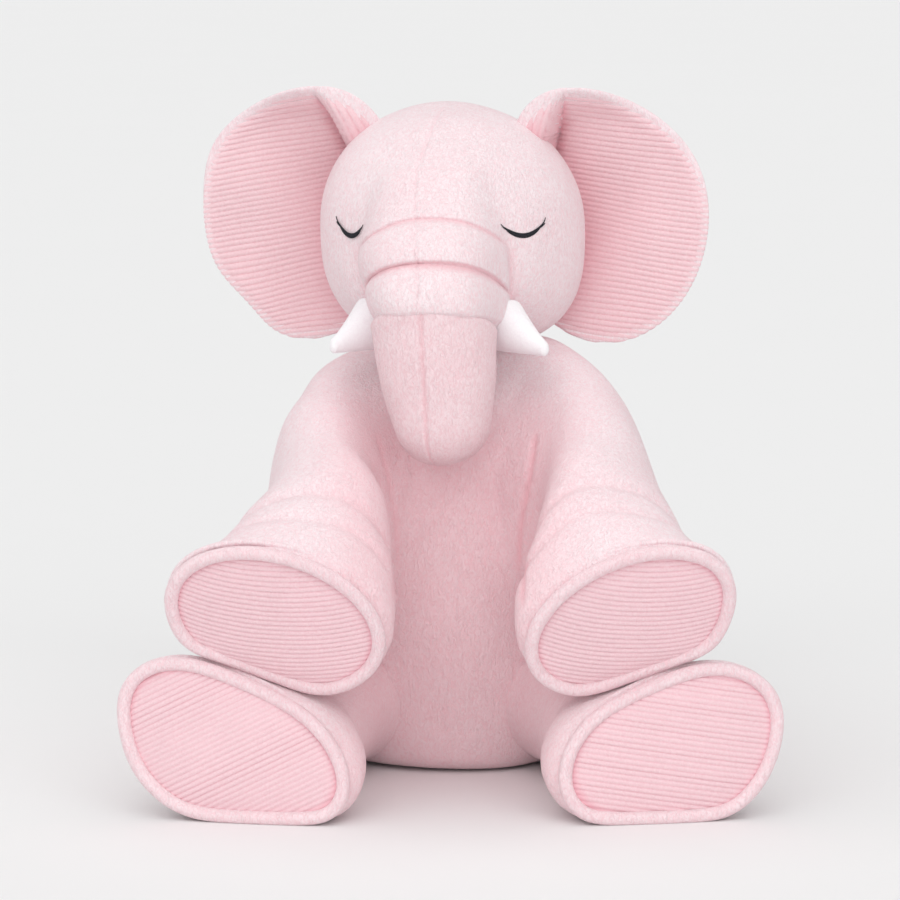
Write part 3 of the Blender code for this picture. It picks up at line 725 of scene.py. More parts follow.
@dataclass
class Workshop:
    """The node trees and finishes that the pieces share."""

    finishes: Wardrobe = field(default_factory=Wardrobe)
    ribs: RibbedCloth = field(default_factory=RibbedCloth)
    welts: RolledWelt = field(default_factory=RolledWelt)
    stitches: SatinStitch = field(default_factory=SatinStitch)


# ---------------------------------------------------------------- the head


@dataclass
class HeadCover:
    """Head and muzzle in one skin, gathered across the muzzle by three tucks."""

    centre: tuple[float, float, float] = (0.0, -0.014, 0.3169)
    yaw: float = math.radians(6.5)
    half_width: float = 0.0785
    half_depth: float = 0.0775
    half_height: float = 0.0725
    crown_fullness: float = 2.05
    jowl_fullness: float = 2.7
    lean: float = 0.035
    neck: float = -0.0645
    tucks: tuple[float, ...] = (0.031, -0.0113, -0.0394, -0.0568)
    tuck_depths: tuple[float, ...] = (0.0007, 0.0019, 0.0023, 0.0)
    puffs: tuple[float, ...] = (0.0, 0.0042, 0.0042)
    rows: tuple[float, ...] = (-0.0645, -0.0615, -0.0594, -0.0568, -0.0394, -0.0113, 0.031, 0.055)
    reach: tuple[float, ...] = (0.030, 0.070, 0.118, 0.1260, 0.1165, 0.0985, 0.0735, 0.045)
    width: tuple[float, ...] = (0.020, 0.030, 0.0360, 0.0390, 0.0425, 0.0465, 0.040, 0.030)
    arch: tuple[float, ...] = (0.0, 0.008, 0.014, 0.0185, 0.0280, 0.0235, 0.008, 0.0)
    arch_way: float = math.radians(27)
    squareness: float = 3.6
    muzzle_rows: tuple[float, ...] = (-0.0568, -0.0394, -0.0113, 0.031)
    muzzle_turns: tuple[float, ...] = (-0.5, -2.2, -3.6, -4.0)
    seam_rows: tuple[float, ...] = (-0.0645, -0.0394, -0.0113, 0.031, 0.0725)
    seam_turns: tuple[float, ...] = (-2.0, -3.5, -6.0, -9.0, -5.0)

    def place(self, local: Array) -> Array:
        """Return points of the head's own frame in the toy's frame."""
        turn, over = math.cos(self.yaw), math.sin(self.yaw)
        x, y, z = np.moveaxis(np.asarray(local, dtype=float), -1, 0)
        return np.stack([x * turn + y * over, y * turn - x * over, z], axis=-1) + np.array(self.centre)

    def head_radius(self, azimuth: Array, row: Array) -> Array:
        """Return the plain head's radius at a row."""
        share = np.clip(np.abs(row) / self.half_height, 0, 1)
        power = np.where(np.asarray(row) > 0, self.crown_fullness, self.jowl_fullness)
        scale = (1 - share**power) ** (1 / power)
        across, ahead = np.sin(azimuth) / self.half_width, np.cos(azimuth) / self.half_depth
        return scale / np.sqrt(across**2 + ahead**2)

    def local(self, azimuth: Array, row: Array, lift: float = 0.0) -> Array:
        """Return points of the skin in the head's own frame.

        Args:
            azimuth: Angle from straight ahead towards the toy's left.
            row: Height at the sides of the head; rows arch over the muzzle.
            lift: Distance off the skin.

        Returns:
            Points by the shape of the two inputs.
        """
        azimuth, row = np.broadcast_arrays(azimuth, row)
        radius = self.skin(azimuth, row)[0] + lift
        rise = np.exp(-((np.abs(azimuth) / self.arch_way) ** 2.6))
        height = row + np.interp(row, self.rows, self.arch) * rise
        return np.stack([radius * np.sin(azimuth) - self.lean * height, -radius * np.cos(azimuth), height],
                        axis=-1)

    def skin(self, azimuth: Array, row: Array) -> tuple[Array, Array]:
        """Return the radius of the skin and, from 0 to 1, its deeper pink: the centre seam's own line, with painted
        shade in the tucks and where the muzzle meets the cheeks.
        """
        turned = azimuth - np.radians(np.interp(row, self.muzzle_rows, self.muzzle_turns))
        reach = np.interp(row, self.rows, self.reach)
        width = np.interp(row, self.rows, self.width)
        front = np.abs(turned) < math.pi / 2
        cosine = np.where(front, np.cos(turned), 1e-6)
        power = self.squareness
        muzzle = ((np.abs(np.sin(turned)) / width) ** power + (cosine / reach) ** power) ** (-1 / power)
        muzzle = np.where(front, muzzle, width)
        head = self.head_radius(azimuth, row)
        proud = muzzle - head
        gathered = ease(-0.002, 0.010, proud)
        puff, tuck = self.roll(row)
        muzzle = muzzle + gathered * (puff - tuck)
        radius = (head**40 + muzzle**40) ** (1 / 40)
        radius = np.where(row > self.rows[-1], head, radius)
        middle = np.radians(np.interp(row, self.seam_rows, self.seam_turns))
        beside = radius * np.minimum(np.abs(azimuth - middle), math.pi - np.abs(azimuth))
        sewn = ease(self.half_height, self.half_height * 0.97, row)
        seam = np.exp(-((beside / 0.0010) ** 2)) * sewn
        radius = radius - 0.0016 * np.exp(-((beside / 0.0012) ** 2)) * sewn
        # Painted shade: deeper pink in the valley where the muzzle's sides meet the cheeks, and in the tucks below; the
        # centre seam's line is its own colour.
        beside = np.exp(-((proud / 0.004) ** 2)) * front * ease(0.0, -0.02, row)
        radius = radius - 0.0016 * beside
        return radius, np.clip(np.maximum(0.15 * seam, gathered * tuck / 0.0045) + 0.3 * beside, 0, 1)

    def roll(self, row: Array) -> tuple[Array, Array]:
        """Return how far the bands between the tucks puff out and how far a tuck pulls in."""
        puffed, pulled = np.zeros_like(row), np.zeros_like(row)
        for top, bottom, puff in zip(self.tucks, self.tucks[1:], self.puffs):
            share = np.clip((row - bottom) / (top - bottom), 0, 1)
            puffed = puffed + puff * (4 * share * (1 - share)) ** 0.7
        for tuck, depth in zip(self.tucks, self.tuck_depths):
            pulled = pulled + depth * np.exp(-(((row - tuck) / 0.0017) ** 2))
        return puffed, pulled

    def on_skin(self, azimuth: float, height: float, lift: float = 0.0) -> Array:
        """Return the point of the skin at an azimuth and a true height."""
        row = height
        rise = math.exp(-((abs(azimuth) / self.arch_way) ** 2.6))
        for _ in range(12):
            row = height - rise * np.interp(row, self.rows, self.arch)
        return self.local(np.array(azimuth), np.array(row), lift)

    def build(self) -> bpy.types.Object:
        """Make the skin of the head and the muzzle."""
        turns = np.linspace(-1, 1, 257)[:-1]
        azimuth = math.pi * np.sign(turns) * np.abs(turns) ** 1.35
        low = math.asin(self.neck / self.half_height)
        rises = self.half_height * np.sin(np.linspace(low, math.pi / 2 - 0.004, 104))
        near = [tuck + step for tuck in self.tucks[:3]
                for step in (-0.005, -0.0034, -0.0022, -0.0012, -0.0005, 0, 0.0005, 0.0012, 0.0022,
                             0.0034, 0.005)]
        under = np.linspace(-0.0645, -0.0560, 18)
        row = np.unique(np.round(np.concatenate([rises, near, under]), 5))
        piece = add_loft("head_cover", self.place(self.local(azimuth[None, :], row[:, None])))
        keep_seam(piece, self.skin(*np.broadcast_arrays(azimuth[None, :], row[:, None]))[1])
        skin = read_points(piece.data)
        write_points(piece.data, skin + read_normals(piece.data) * wander(skin, 0.045, 3)[:, None] * 0.0006)
        return piece

    def dress(self, shop: Workshop) -> list[bpy.types.Object]:
        """Make the skin, finish it and set it on its body."""
        piece = self.build()
        piece.data.materials.append(shop.finishes.plush)
        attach(piece, "head")
        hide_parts("head_skin", "head_stuffing", "muzzle_skin", "muzzle_stuffing")
        return [piece]


@dataclass
class Trunk:
    """Free end of the trunk, which hangs from the last tuck of the muzzle."""

    head: HeadCover
    levels: tuple[float, ...] = (-0.1283, -0.1076, -0.0845, -0.047)
    half_widths: tuple[float, ...] = (0.0260, 0.0282, 0.0322, 0.0370)
    half_depths: tuple[float, ...] = (0.0225, 0.0240, 0.0270, 0.0300)
    middles: tuple[float, ...] = (0.0055, 0.0055, 0.0032, -0.0004)
    fronts: tuple[float, ...] = (-0.1010, -0.1005, -0.0990, -0.0965)
    tip: float = 0.026
    seam_turns: tuple[float, ...] = (-15.0, -12.0, -8.0, -4.7)

    def seam(self, level: Array, turns: Array, width: float) -> Array:
        """Return 1 on the centre seam of the trunk, falling to 0 beside it."""
        beside = turns - np.radians(np.interp(level, self.levels, self.seam_turns))
        return np.exp(-((beside * np.interp(level, self.levels, self.half_widths) / width) ** 2))

    def ring(self, level: float, turns: Array) -> Array:
        """Return a ring of the trunk in the head's own frame."""
        half_width = np.interp(level, self.levels, self.half_widths)
        half_depth = np.interp(level, self.levels, self.half_depths)
        left = np.clip((level - self.levels[0]) / self.tip, 0, 1)
        close = (1 - (1 - left) ** 2.3) ** (1 / 2.3)
        top = ease(self.levels[-1] - 0.004, self.levels[-1] + 0.003, np.array(level))
        scale = close * (1 - 0.16 * float(top))
        lean = math.tan(math.radians(float(np.interp(level, self.levels, (0, 4, 13, 21)))))
        across = np.sign(np.sin(turns)) * np.abs(np.sin(turns)) ** 0.92 * half_width * scale
        ahead = np.cos(turns) * half_depth * scale
        groove = 0.0016 * self.seam(level, turns, 0.0013) * close
        x = np.interp(level, self.levels, self.middles) + across
        y = np.interp(level, self.levels, self.fronts) - ahead + groove
        return np.stack([x, y, level + lean * ahead], axis=-1)

    def build(self) -> bpy.types.Object:
        """Make the skin of the trunk."""
        steps = np.linspace(-1, 1, 129)[:-1]
        turns = math.pi * np.sign(steps) * np.abs(steps) ** 1.3
        body = np.linspace(self.levels[0] + self.tip, self.levels[-1], 46)
        tip = self.levels[0] + self.tip * (1 - np.cos(np.linspace(0.03, math.pi / 2, 18)))
        levels = np.concatenate([tip, body[1:], self.levels[-1] + np.array((0.001, 0.002, 0.003))])
        rings = np.stack([self.ring(float(level), turns) for level in levels])
        piece = add_loft("trunk_cover", self.head.place(rings))
        keep_seam(piece, 0.3 * self.seam(levels[:, None], turns[None, :], 0.0010))
        skin = read_points(piece.data)
        write_points(piece.data, skin + read_normals(piece.data) * wander(skin, 0.03, 5)[:, None] * 0.0006)
        return piece

    def dress(self, shop: Workshop) -> list[bpy.types.Object]:
        """Make the trunk and finish it."""
        piece = self.build()
        piece.data.materials.append(shop.finishes.trunk_plush)
        start, end = self.head.place(np.array(((0, -0.11, -0.046), (0, -0.11, -0.078))))
        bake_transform(piece)
        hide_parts("trunk_skin", "trunk_stuffing")
        return [piece]


@dataclass
class Tusk:
    """White horn beside the muzzle: concave above, nearly flat below."""

    head: HeadCover
    side: Side
    base: tuple[float, float] = (0.0430, -0.073)
    tip: tuple[float, float] = (0.0625, -0.090)
    bottom: float = -0.0665
    base_half: float = 0.0152
    tip_half: float = 0.0038
    depth_share: float = 0.78

    def build(self) -> bpy.types.Object:
        """Make the horn."""
        sign = self.side.value
        shift = 0.0024
        base = np.array((sign * self.base[0], self.base[1], 0))
        tip = np.array((sign * self.tip[0] + shift, self.tip[1], 0))
        way = unit(tip - base)
        lateral = np.cross(UP, way)
        turns = np.linspace(0, 2 * math.pi, 41)[:-1]
        rings = []
        for share in np.concatenate([np.linspace(-0.35, 0.9, 30), 1 - 0.1 * np.cos(np.linspace(
                0.1, math.pi / 2 - 0.05, 8))[::1] ** 1.0]):
            half = self.tip_half + (self.base_half - self.tip_half) * (1 - np.clip(share, 0, 1)) ** 1.2
            blunt = math.sqrt(max(1 - max(0.0, (share - 0.9) / 0.1) ** 2, 0.02))
            centre = base + (tip - base) * share + UP * (self.bottom + half)
            rings.append(centre + np.outer(np.sin(turns) * half * blunt, UP)
                         + np.outer(np.cos(turns) * half * self.depth_share * blunt, lateral))
        return add_loft(f"{self.side.label}_tusk", self.head.place(np.stack(rings)))

    def dress(self, shop: Workshop) -> list[bpy.types.Object]:
        """Make the horn, finish it and set it on its body."""
        piece = self.build()
        piece.data.materials.append(shop.finishes.velboa)
        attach(piece, "head")
        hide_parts(f"{self.side.label}_tusk_cover", f"{self.side.label}_tusk_stuffing")
        return [piece]


@dataclass
class Eye:
    """Closed eye embroidered in dark thread, with a lash at its corners."""

    head: HeadCover
    side: Side
    turns: tuple[float, ...]
    heights: tuple[float, ...]
    span: float = 0.0016

    def path(self, turns: tuple, heights: tuple, count: int) -> Array:
        """Return points along a bow on the skin through three places of it."""
        shares = np.linspace(0, 1, count)
        bow_turns = np.polyval(np.polyfit((0, 0.5, 1), np.radians(turns), 2), shares)
        bow_heights = np.polyval(np.polyfit((0, 0.5, 1), heights, 2), shares)
        sign = self.side.value
        return np.stack([self.head.on_skin(sign * turn, height, 0.0009)
                         for turn, height in zip(bow_turns, bow_heights)])

    def lashes(self) -> list[Array]:
        """Return the short flicks at the corners of the eye."""
        first, last = self.turns[0], self.turns[-1]
        top, end = self.heights[0], self.heights[-1]
        flicks = []
        for turn, height, way, lift in ((last, end, 3.2, 0.0046), (last - 0.6, end - 0.0006, 3.2, 0.0022),
                                        (first, top, -2.2, 0.0026)):
            flicks.append(self.path((turn, turn + way * 0.55, turn + way),
                                    (height, height + lift * 0.40, height + lift), 8))
        return flicks

    def build(self, shop: Workshop) -> bpy.types.Object:
        """Make the stitches of the eye."""
        runs = [(self.path(self.turns, self.heights, 40), self.span)]
        runs += [(flick, self.span * 0.40) for flick in self.lashes()]
        points, edges, spans, across = [], [], [], []
        for run, span in runs:
            start = len(points)
            world = self.head.place(run)
            shares = np.linspace(0, 1, len(run))
            thick = np.sin(math.pi * shares) ** 0.35 if span == self.span else 1 - 0.7 * shares
            along = np.gradient(world, axis=0)
            out = world - self.head.place(run * np.array((0.0, 0.0, 1.0)))
            for step, point in enumerate(world):
                points.append(point)
                spans.append(span * max(0.3, thick[step]))
                across.append(unit(np.cross(unit(out[step]), unit(along[step]))))
                if step:
                    edges.append((start + step - 1, start + step))
        piece = add_piece(f"{self.side.label}_eye", np.array(points), [], edges)
        keep_value(piece, "span", np.array(spans))
        kept = piece.data.attributes.new("across", "FLOAT_VECTOR", "POINT")
        kept.data.foreach_set("vector", np.array(across, dtype=np.float32).ravel())
        shop.stitches.bake(piece, shop.finishes.thread)
        return piece

    def dress(self, shop: Workshop) -> list[bpy.types.Object]:
        """Make the eye and set it on its body."""
        piece = self.build(shop)
        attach(piece, "head")
        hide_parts(f"{self.side.label}_eye_stitching")
        return [piece]


@dataclass
class Ear:
    """Cupped ear: a corduroy front that rolls over the rim and a plush back."""

    head: HeadCover
    side: Side
    tilt: float
    out: float = 0.0900
    rise: float = 0.006
    half_width: float = 0.0610
    half_height: float = 0.0765
    lean: float = 0.0115
    crown: float = 0.0
    trim: float = 0.0
    fold_line: tuple[tuple[float, float], tuple[float, float]] = ((0.0589, 0.0459), (0.0648, 0.0703))
    fold: float = 0.016
    fold_width: float = 0.010
    rim_back: float = 0.013
    bowl: float = 0.013
    recess: float = 0.028
    piping: float = 0.0026
    thickness: float = 0.0066
    rib_rows: int = 330
    columns: int = 96

    def middle(self, rises: Array) -> Array:
        """Return the middle of the ear at shares of its half height."""
        return self.out - self.lean * np.clip(rises, 0, 1) ** 2

    def wide(self, rises: Array) -> Array:
        """Return the outer half width of the ear at shares of its half height."""
        return self.half_width * (1 - self.trim * np.exp(-(((rises + 0.80) / 0.25) ** 2))
                                  + self.crown * np.exp(-(((rises - 0.70) / 0.42) ** 2)))

    def cup(self, out: Array, level: Array) -> tuple[Array, Array, Array]:
        """Return the depth of the unfolded ear, the share of the way to its rim and of its height."""
        flat_z = np.clip((level - self.rise) / self.half_height, -1, 1)
        beside = out - self.middle(flat_z)
        flat_x = beside / np.where(beside > 0, self.wide(flat_z), self.half_width)
        rim = np.clip(np.sqrt(flat_x**2 + flat_z**2), 0, 1)
        back = self.rim_back + self.bowl * (1 - rim**2)
        back = back + self.recess * np.clip((0.45 - flat_x) / 1.3, 0, 1) ** 1.3 * (1 - flat_z**2)
        wave = np.sin(2 * math.pi * (flat_z * 0.85 - flat_x * 0.45) + self.side.value)
        return back + 0.0026 * wave * (1 - rim**2), rim, flat_z

    def form(self, out: Array, level: Array) -> tuple[Array, Array, Array, Array, Array]:
        """Return the ear's form at places of it.

        Args:
            out: Distance from the middle of the head.
            level: Height over the middle of the head.

        Returns:
            Depth, half thickness, share of the way to the rim, how far the cloth is folded
            forward, and distance across the line of the fold.
        """
        back, rim, flat_z = self.cup(out, level)
        low, high = np.array(self.fold_line)
        way = unit(high - low)
        across = (low[0] - out) * way[1] + (level - low[1]) * way[0]
        crest = np.sqrt(1 - np.clip(1 - across / self.fold_width, 0, 1) ** 2)
        curl = ease(0.74, 1.0, rim) * np.exp(-((np.minimum(across, 0) / 0.034) ** 2)) * ease(0.2, 0.6, flat_z)
        folded = 1 - (1 - crest) * (1 - curl)
        back = back * (1 - 0.5 * folded) - self.fold * folded
        back = back + 0.004 * np.exp(-((across / 0.004) ** 2)) * (1 - curl)
        return back, self.thickness * np.sqrt(np.clip(1 - rim**5.5, 0, 1)), rim, folded, across

    def grid(self) -> tuple[Array, Array, Array, Array, Array]:
        """Return the front, the lining's two sides, the rib value and the painted shade of the fold's crease and of the
        recess by the head, over a grid.
        """
        steps = np.linspace(-1, 1, self.rib_rows)[1:-1]
        rises = 0.75 * steps + 0.25 * np.sin(math.pi / 2 * steps)
        chord = np.sqrt(1 - rises**2)
        height = self.rise + self.half_height * rises
        middle = self.middle(rises)
        head_edge = self.head.head_radius(np.array(math.pi / 2), height) - 0.006
        rooted = head_edge
        for _ in range(14):
            depth = self.cup(rooted, height)[0]
            radius = self.head.head_radius(np.arctan2(rooted, -depth), height) - 0.007
            rooted = (rooted + np.sqrt(np.clip(radius**2 - depth**2, 0.0009, None))) / 2
        inner = np.maximum(middle - self.half_width * chord, np.where(height > -0.06, rooted, -1))
        outer = middle + self.wide(rises) * chord
        share = (1 - np.cos(math.pi * np.linspace(0, 1, self.columns))) / 2
        out = inner[:, None] + (outer - inner)[:, None] * share[None, :]
        level = np.broadcast_to(height[:, None], out.shape)
        back, puff, rim, folded, across = self.form(out, level)
        buried = ease(0.0, 0.05, share)[None, :] ** 0.5
        cuff = np.stack([self.side.value * out, back - 0.8 * puff * buried, level], axis=-1)
        rear = np.stack([self.side.value * out, back + puff * buried, level], axis=-1)
        hem = ease(-0.1, 0.5, np.broadcast_to(rises[:, None], out.shape)) + folded
        hem = 1 - self.piping / self.half_height * rim**4 * hem
        out = middle[:, None] + (out - middle[:, None]) * hem
        level = self.rise + (level - self.rise) * hem
        back, puff = self.form(out, level)[:2]
        puff = puff * (1 - 0.35 * ease(0.88, 1.0, rim)) * buried
        front = np.stack([self.side.value * out, back - puff, level], axis=-1)
        rib = level * math.cos(self.tilt) + out * math.sin(self.tilt)
        rib = rib + 0.0016 * wander(np.stack([out, level, out * 0], axis=-1), 0.075, 7 + self.side.value)
        lip = np.sqrt(1 - np.clip(1 - across / self.fold_width, 0, 1) ** 2)
        rib = np.where(across > 0, 0.8 * self.fold * lip + 0.6 * across, rib)
        # Painted shade: deeper pink along the fold's crease and in the recess beside the head.
        crease = np.maximum(np.exp(-((across / 0.0022) ** 2)) * ease(1.0, 0.85, rim),
                            0.6 * np.exp(-np.clip(out - head_edge[:, None] - 0.006, 0, 1) / 0.012))
        return front, cuff, rear, rib, crease

    def sheet(self, name: str, shown: Array, inner: Array) -> bpy.types.Object:
        """Make a closed sheet between a shown side and an inner one with the same edge."""
        rows, columns, _ = shown.shape
        count = rows * columns
        index = np.arange(count).reshape(rows, columns)
        faces = []
        for layer, flip in ((0, False), (count, True)):
            quads = np.stack([index[:-1, :-1], index[1:, :-1], index[1:, 1:], index[:-1, 1:]], axis=-1)
            quads = quads.reshape(-1, 4) + layer
            faces += (quads[:, ::-1] if flip else quads).tolist()
        edge = np.concatenate([index[0, :-1], index[:-1, -1], index[-1, :0:-1], index[:0:-1, 0]])
        for start, end in zip(edge, np.roll(edge, -1)):
            faces.append((int(start), int(end), int(end) + count, int(start) + count))
        points = self.head.place(np.concatenate([shown.reshape(-1, 3), inner.reshape(-1, 3)]))
        piece = add_piece(name, points, faces)
        return piece

    def build(self, shop: Workshop) -> list[bpy.types.Object]:
        """Make the front and the back."""
        front, cuff, rear, rib, crease = self.grid()
        middle = front + np.array((0, 0.0016, 0))
        cover = self.sheet(f"{self.side.label}_ear_front_cloth", front, middle)
        shown = np.concatenate([np.ones(rib.size), np.zeros(rib.size)])
        keep_value(cover, "rib", np.concatenate([rib.ravel(), rib.ravel()]))
        keep_value(cover, "show", shown)
        # The seam value here is painted shade only.
        keep_value(cover, "seam", 0.8 * np.concatenate([crease.ravel(), crease.ravel()]))
        face_outwards(cover)
        shop.ribs.bake(cover, shop.finishes.ear_corduroy)
        lining = self.sheet(f"{self.side.label}_ear_back_cloth", rear, cuff)
        face_outwards(lining)
        lining.data.materials.append(shop.finishes.plush)
        return [cover, lining]

    def dress(self, shop: Workshop) -> list[bpy.types.Object]:
        """Make the ear."""
        cover, lining = self.build(shop)
        label, sign = self.side.label, self.side.value
        start, end = self.head.place(np.array(((sign * 0.076, 0.02, 0), (sign * 0.104, 0.02, 0))))
        for piece in (cover, lining):
            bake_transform(piece)
        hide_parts(f"{label}_ear_front", f"{label}_ear_batting")
        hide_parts(f"{label}_ear_back")
        return [cover, lining]


def make_ear(head: HeadCover, side: Side) -> Ear:
    """Return an ear, whose outline and fold are a little different on each side."""
    if side is Side.LEFT:
        return Ear(head, side, math.radians(7), lean=0.0185, crown=0.05)
    return Ear(head, side, math.radians(9.5), crown=0.15, trim=0.19,
               fold_line=((0.0653, 0.0434), (0.0785, 0.0723)))


# ---------------------------------------------------------------- body and limbs


@dataclass
class Torso:
    """Pear-shaped body bag that sits on its weighted seat."""

    height: float = 0.252
    hip_height: float = 0.060
    hip_half: tuple[float, float] = (0.100, 0.098)
    seat_drop: tuple[float, float] = (0.012, 0.006)
    neck_radius: float = 0.040
    chest_fullness: float = 0.55
    chest_taper: float = 0.35
    seat_middle: float = 0.010
    neck_middle: float = -0.014
    yoke_centre: tuple[float, float, float] = (0.0, -0.040, 0.186)
    yoke_half: tuple[float, float, float] = (0.076, 0.047, 0.060)
    lobe_centre: tuple[float, float, float] = (0.056, -0.072, 0.163)
    lobe_half: tuple[float, float, float] = (0.028, 0.036, 0.058)

    def oval(self, level: Array) -> tuple[Array, Array, Array]:
        """Return half width, half depth and middle of the torso at a level."""
        level = np.clip(np.asarray(level, dtype=float), 0, self.height)
        middle = self.seat_middle + (self.neck_middle - self.seat_middle) * level / self.height
        low = np.sqrt(np.clip(1 - (1 - level / self.hip_height) ** 2, 0, 1))
        climb = np.clip((level - self.hip_height) / (self.height - self.hip_height), 0, 1)
        high = np.cos(math.pi / 2 * climb) ** self.chest_fullness * (1 - self.chest_taper * climb)
        halves = []
        for hip, drop in zip(self.hip_half, self.seat_drop):
            below = hip - drop * (1 - low)
            above = self.neck_radius + (hip - self.neck_radius) * high
            halves.append(np.where(level < self.hip_height, below, above))
        return halves[0], halves[1], middle

    def rings(self) -> Array:
        """Return the rings of the body bag."""
        levels = np.concatenate([np.array((0.0, 0.0008, 0.003)), np.linspace(0.008, self.height, 52)])
        turns = np.linspace(0, 2 * math.pi, 73)[:-1]
        half_width, half_depth, middle = self.oval(levels)
        edge = np.array((0.90, 0.94, 0.975) + (1.0,) * 52)
        x = (half_width * edge)[:, None] * np.cos(turns)[None, :]
        y = (half_depth * edge)[:, None] * np.sin(turns)[None, :] + middle[:, None]
        return np.stack([x, y, np.broadcast_to(levels[:, None], x.shape)], axis=-1)

    def yoke(self) -> list[Array]:
        """Return the rings of the chest's filling, between the shoulders and towards each arm."""
        x, y, z = self.lobe_centre
        return [oval_rings(self.yoke_centre, self.yoke_half), oval_rings((x, y, z), self.lobe_half),
                oval_rings((-x, y, z), self.lobe_half)]

    def outside(self, points: Array) -> Array:
        """Return how far points stand outside the body bag, level by level."""
        half_width, half_depth, middle = self.oval(points[:, 2])
        x, y = points[:, 0], points[:, 1] - middle
        share = np.sqrt((x / half_width) ** 2 + (y / half_depth) ** 2)
        return (share - 1) * half_width


def sole_outline(turns: Array, sag: float) -> tuple[Array, Array]:
    """Return the outline of a sole, fuller at its lower outer corner.

    Args:
        turns: Angles round the outline, from its outer end downwards.
        sag: Share by which the lower outer corner stands out of an ellipse.

    Returns:
        Shares of the long and of the short half size.
    """
    swell = 1 + sag * np.exp(-(((turns - math.radians(78)) / math.radians(34)) ** 2))
    return np.cos(turns) * swell, np.sin(turns) * swell


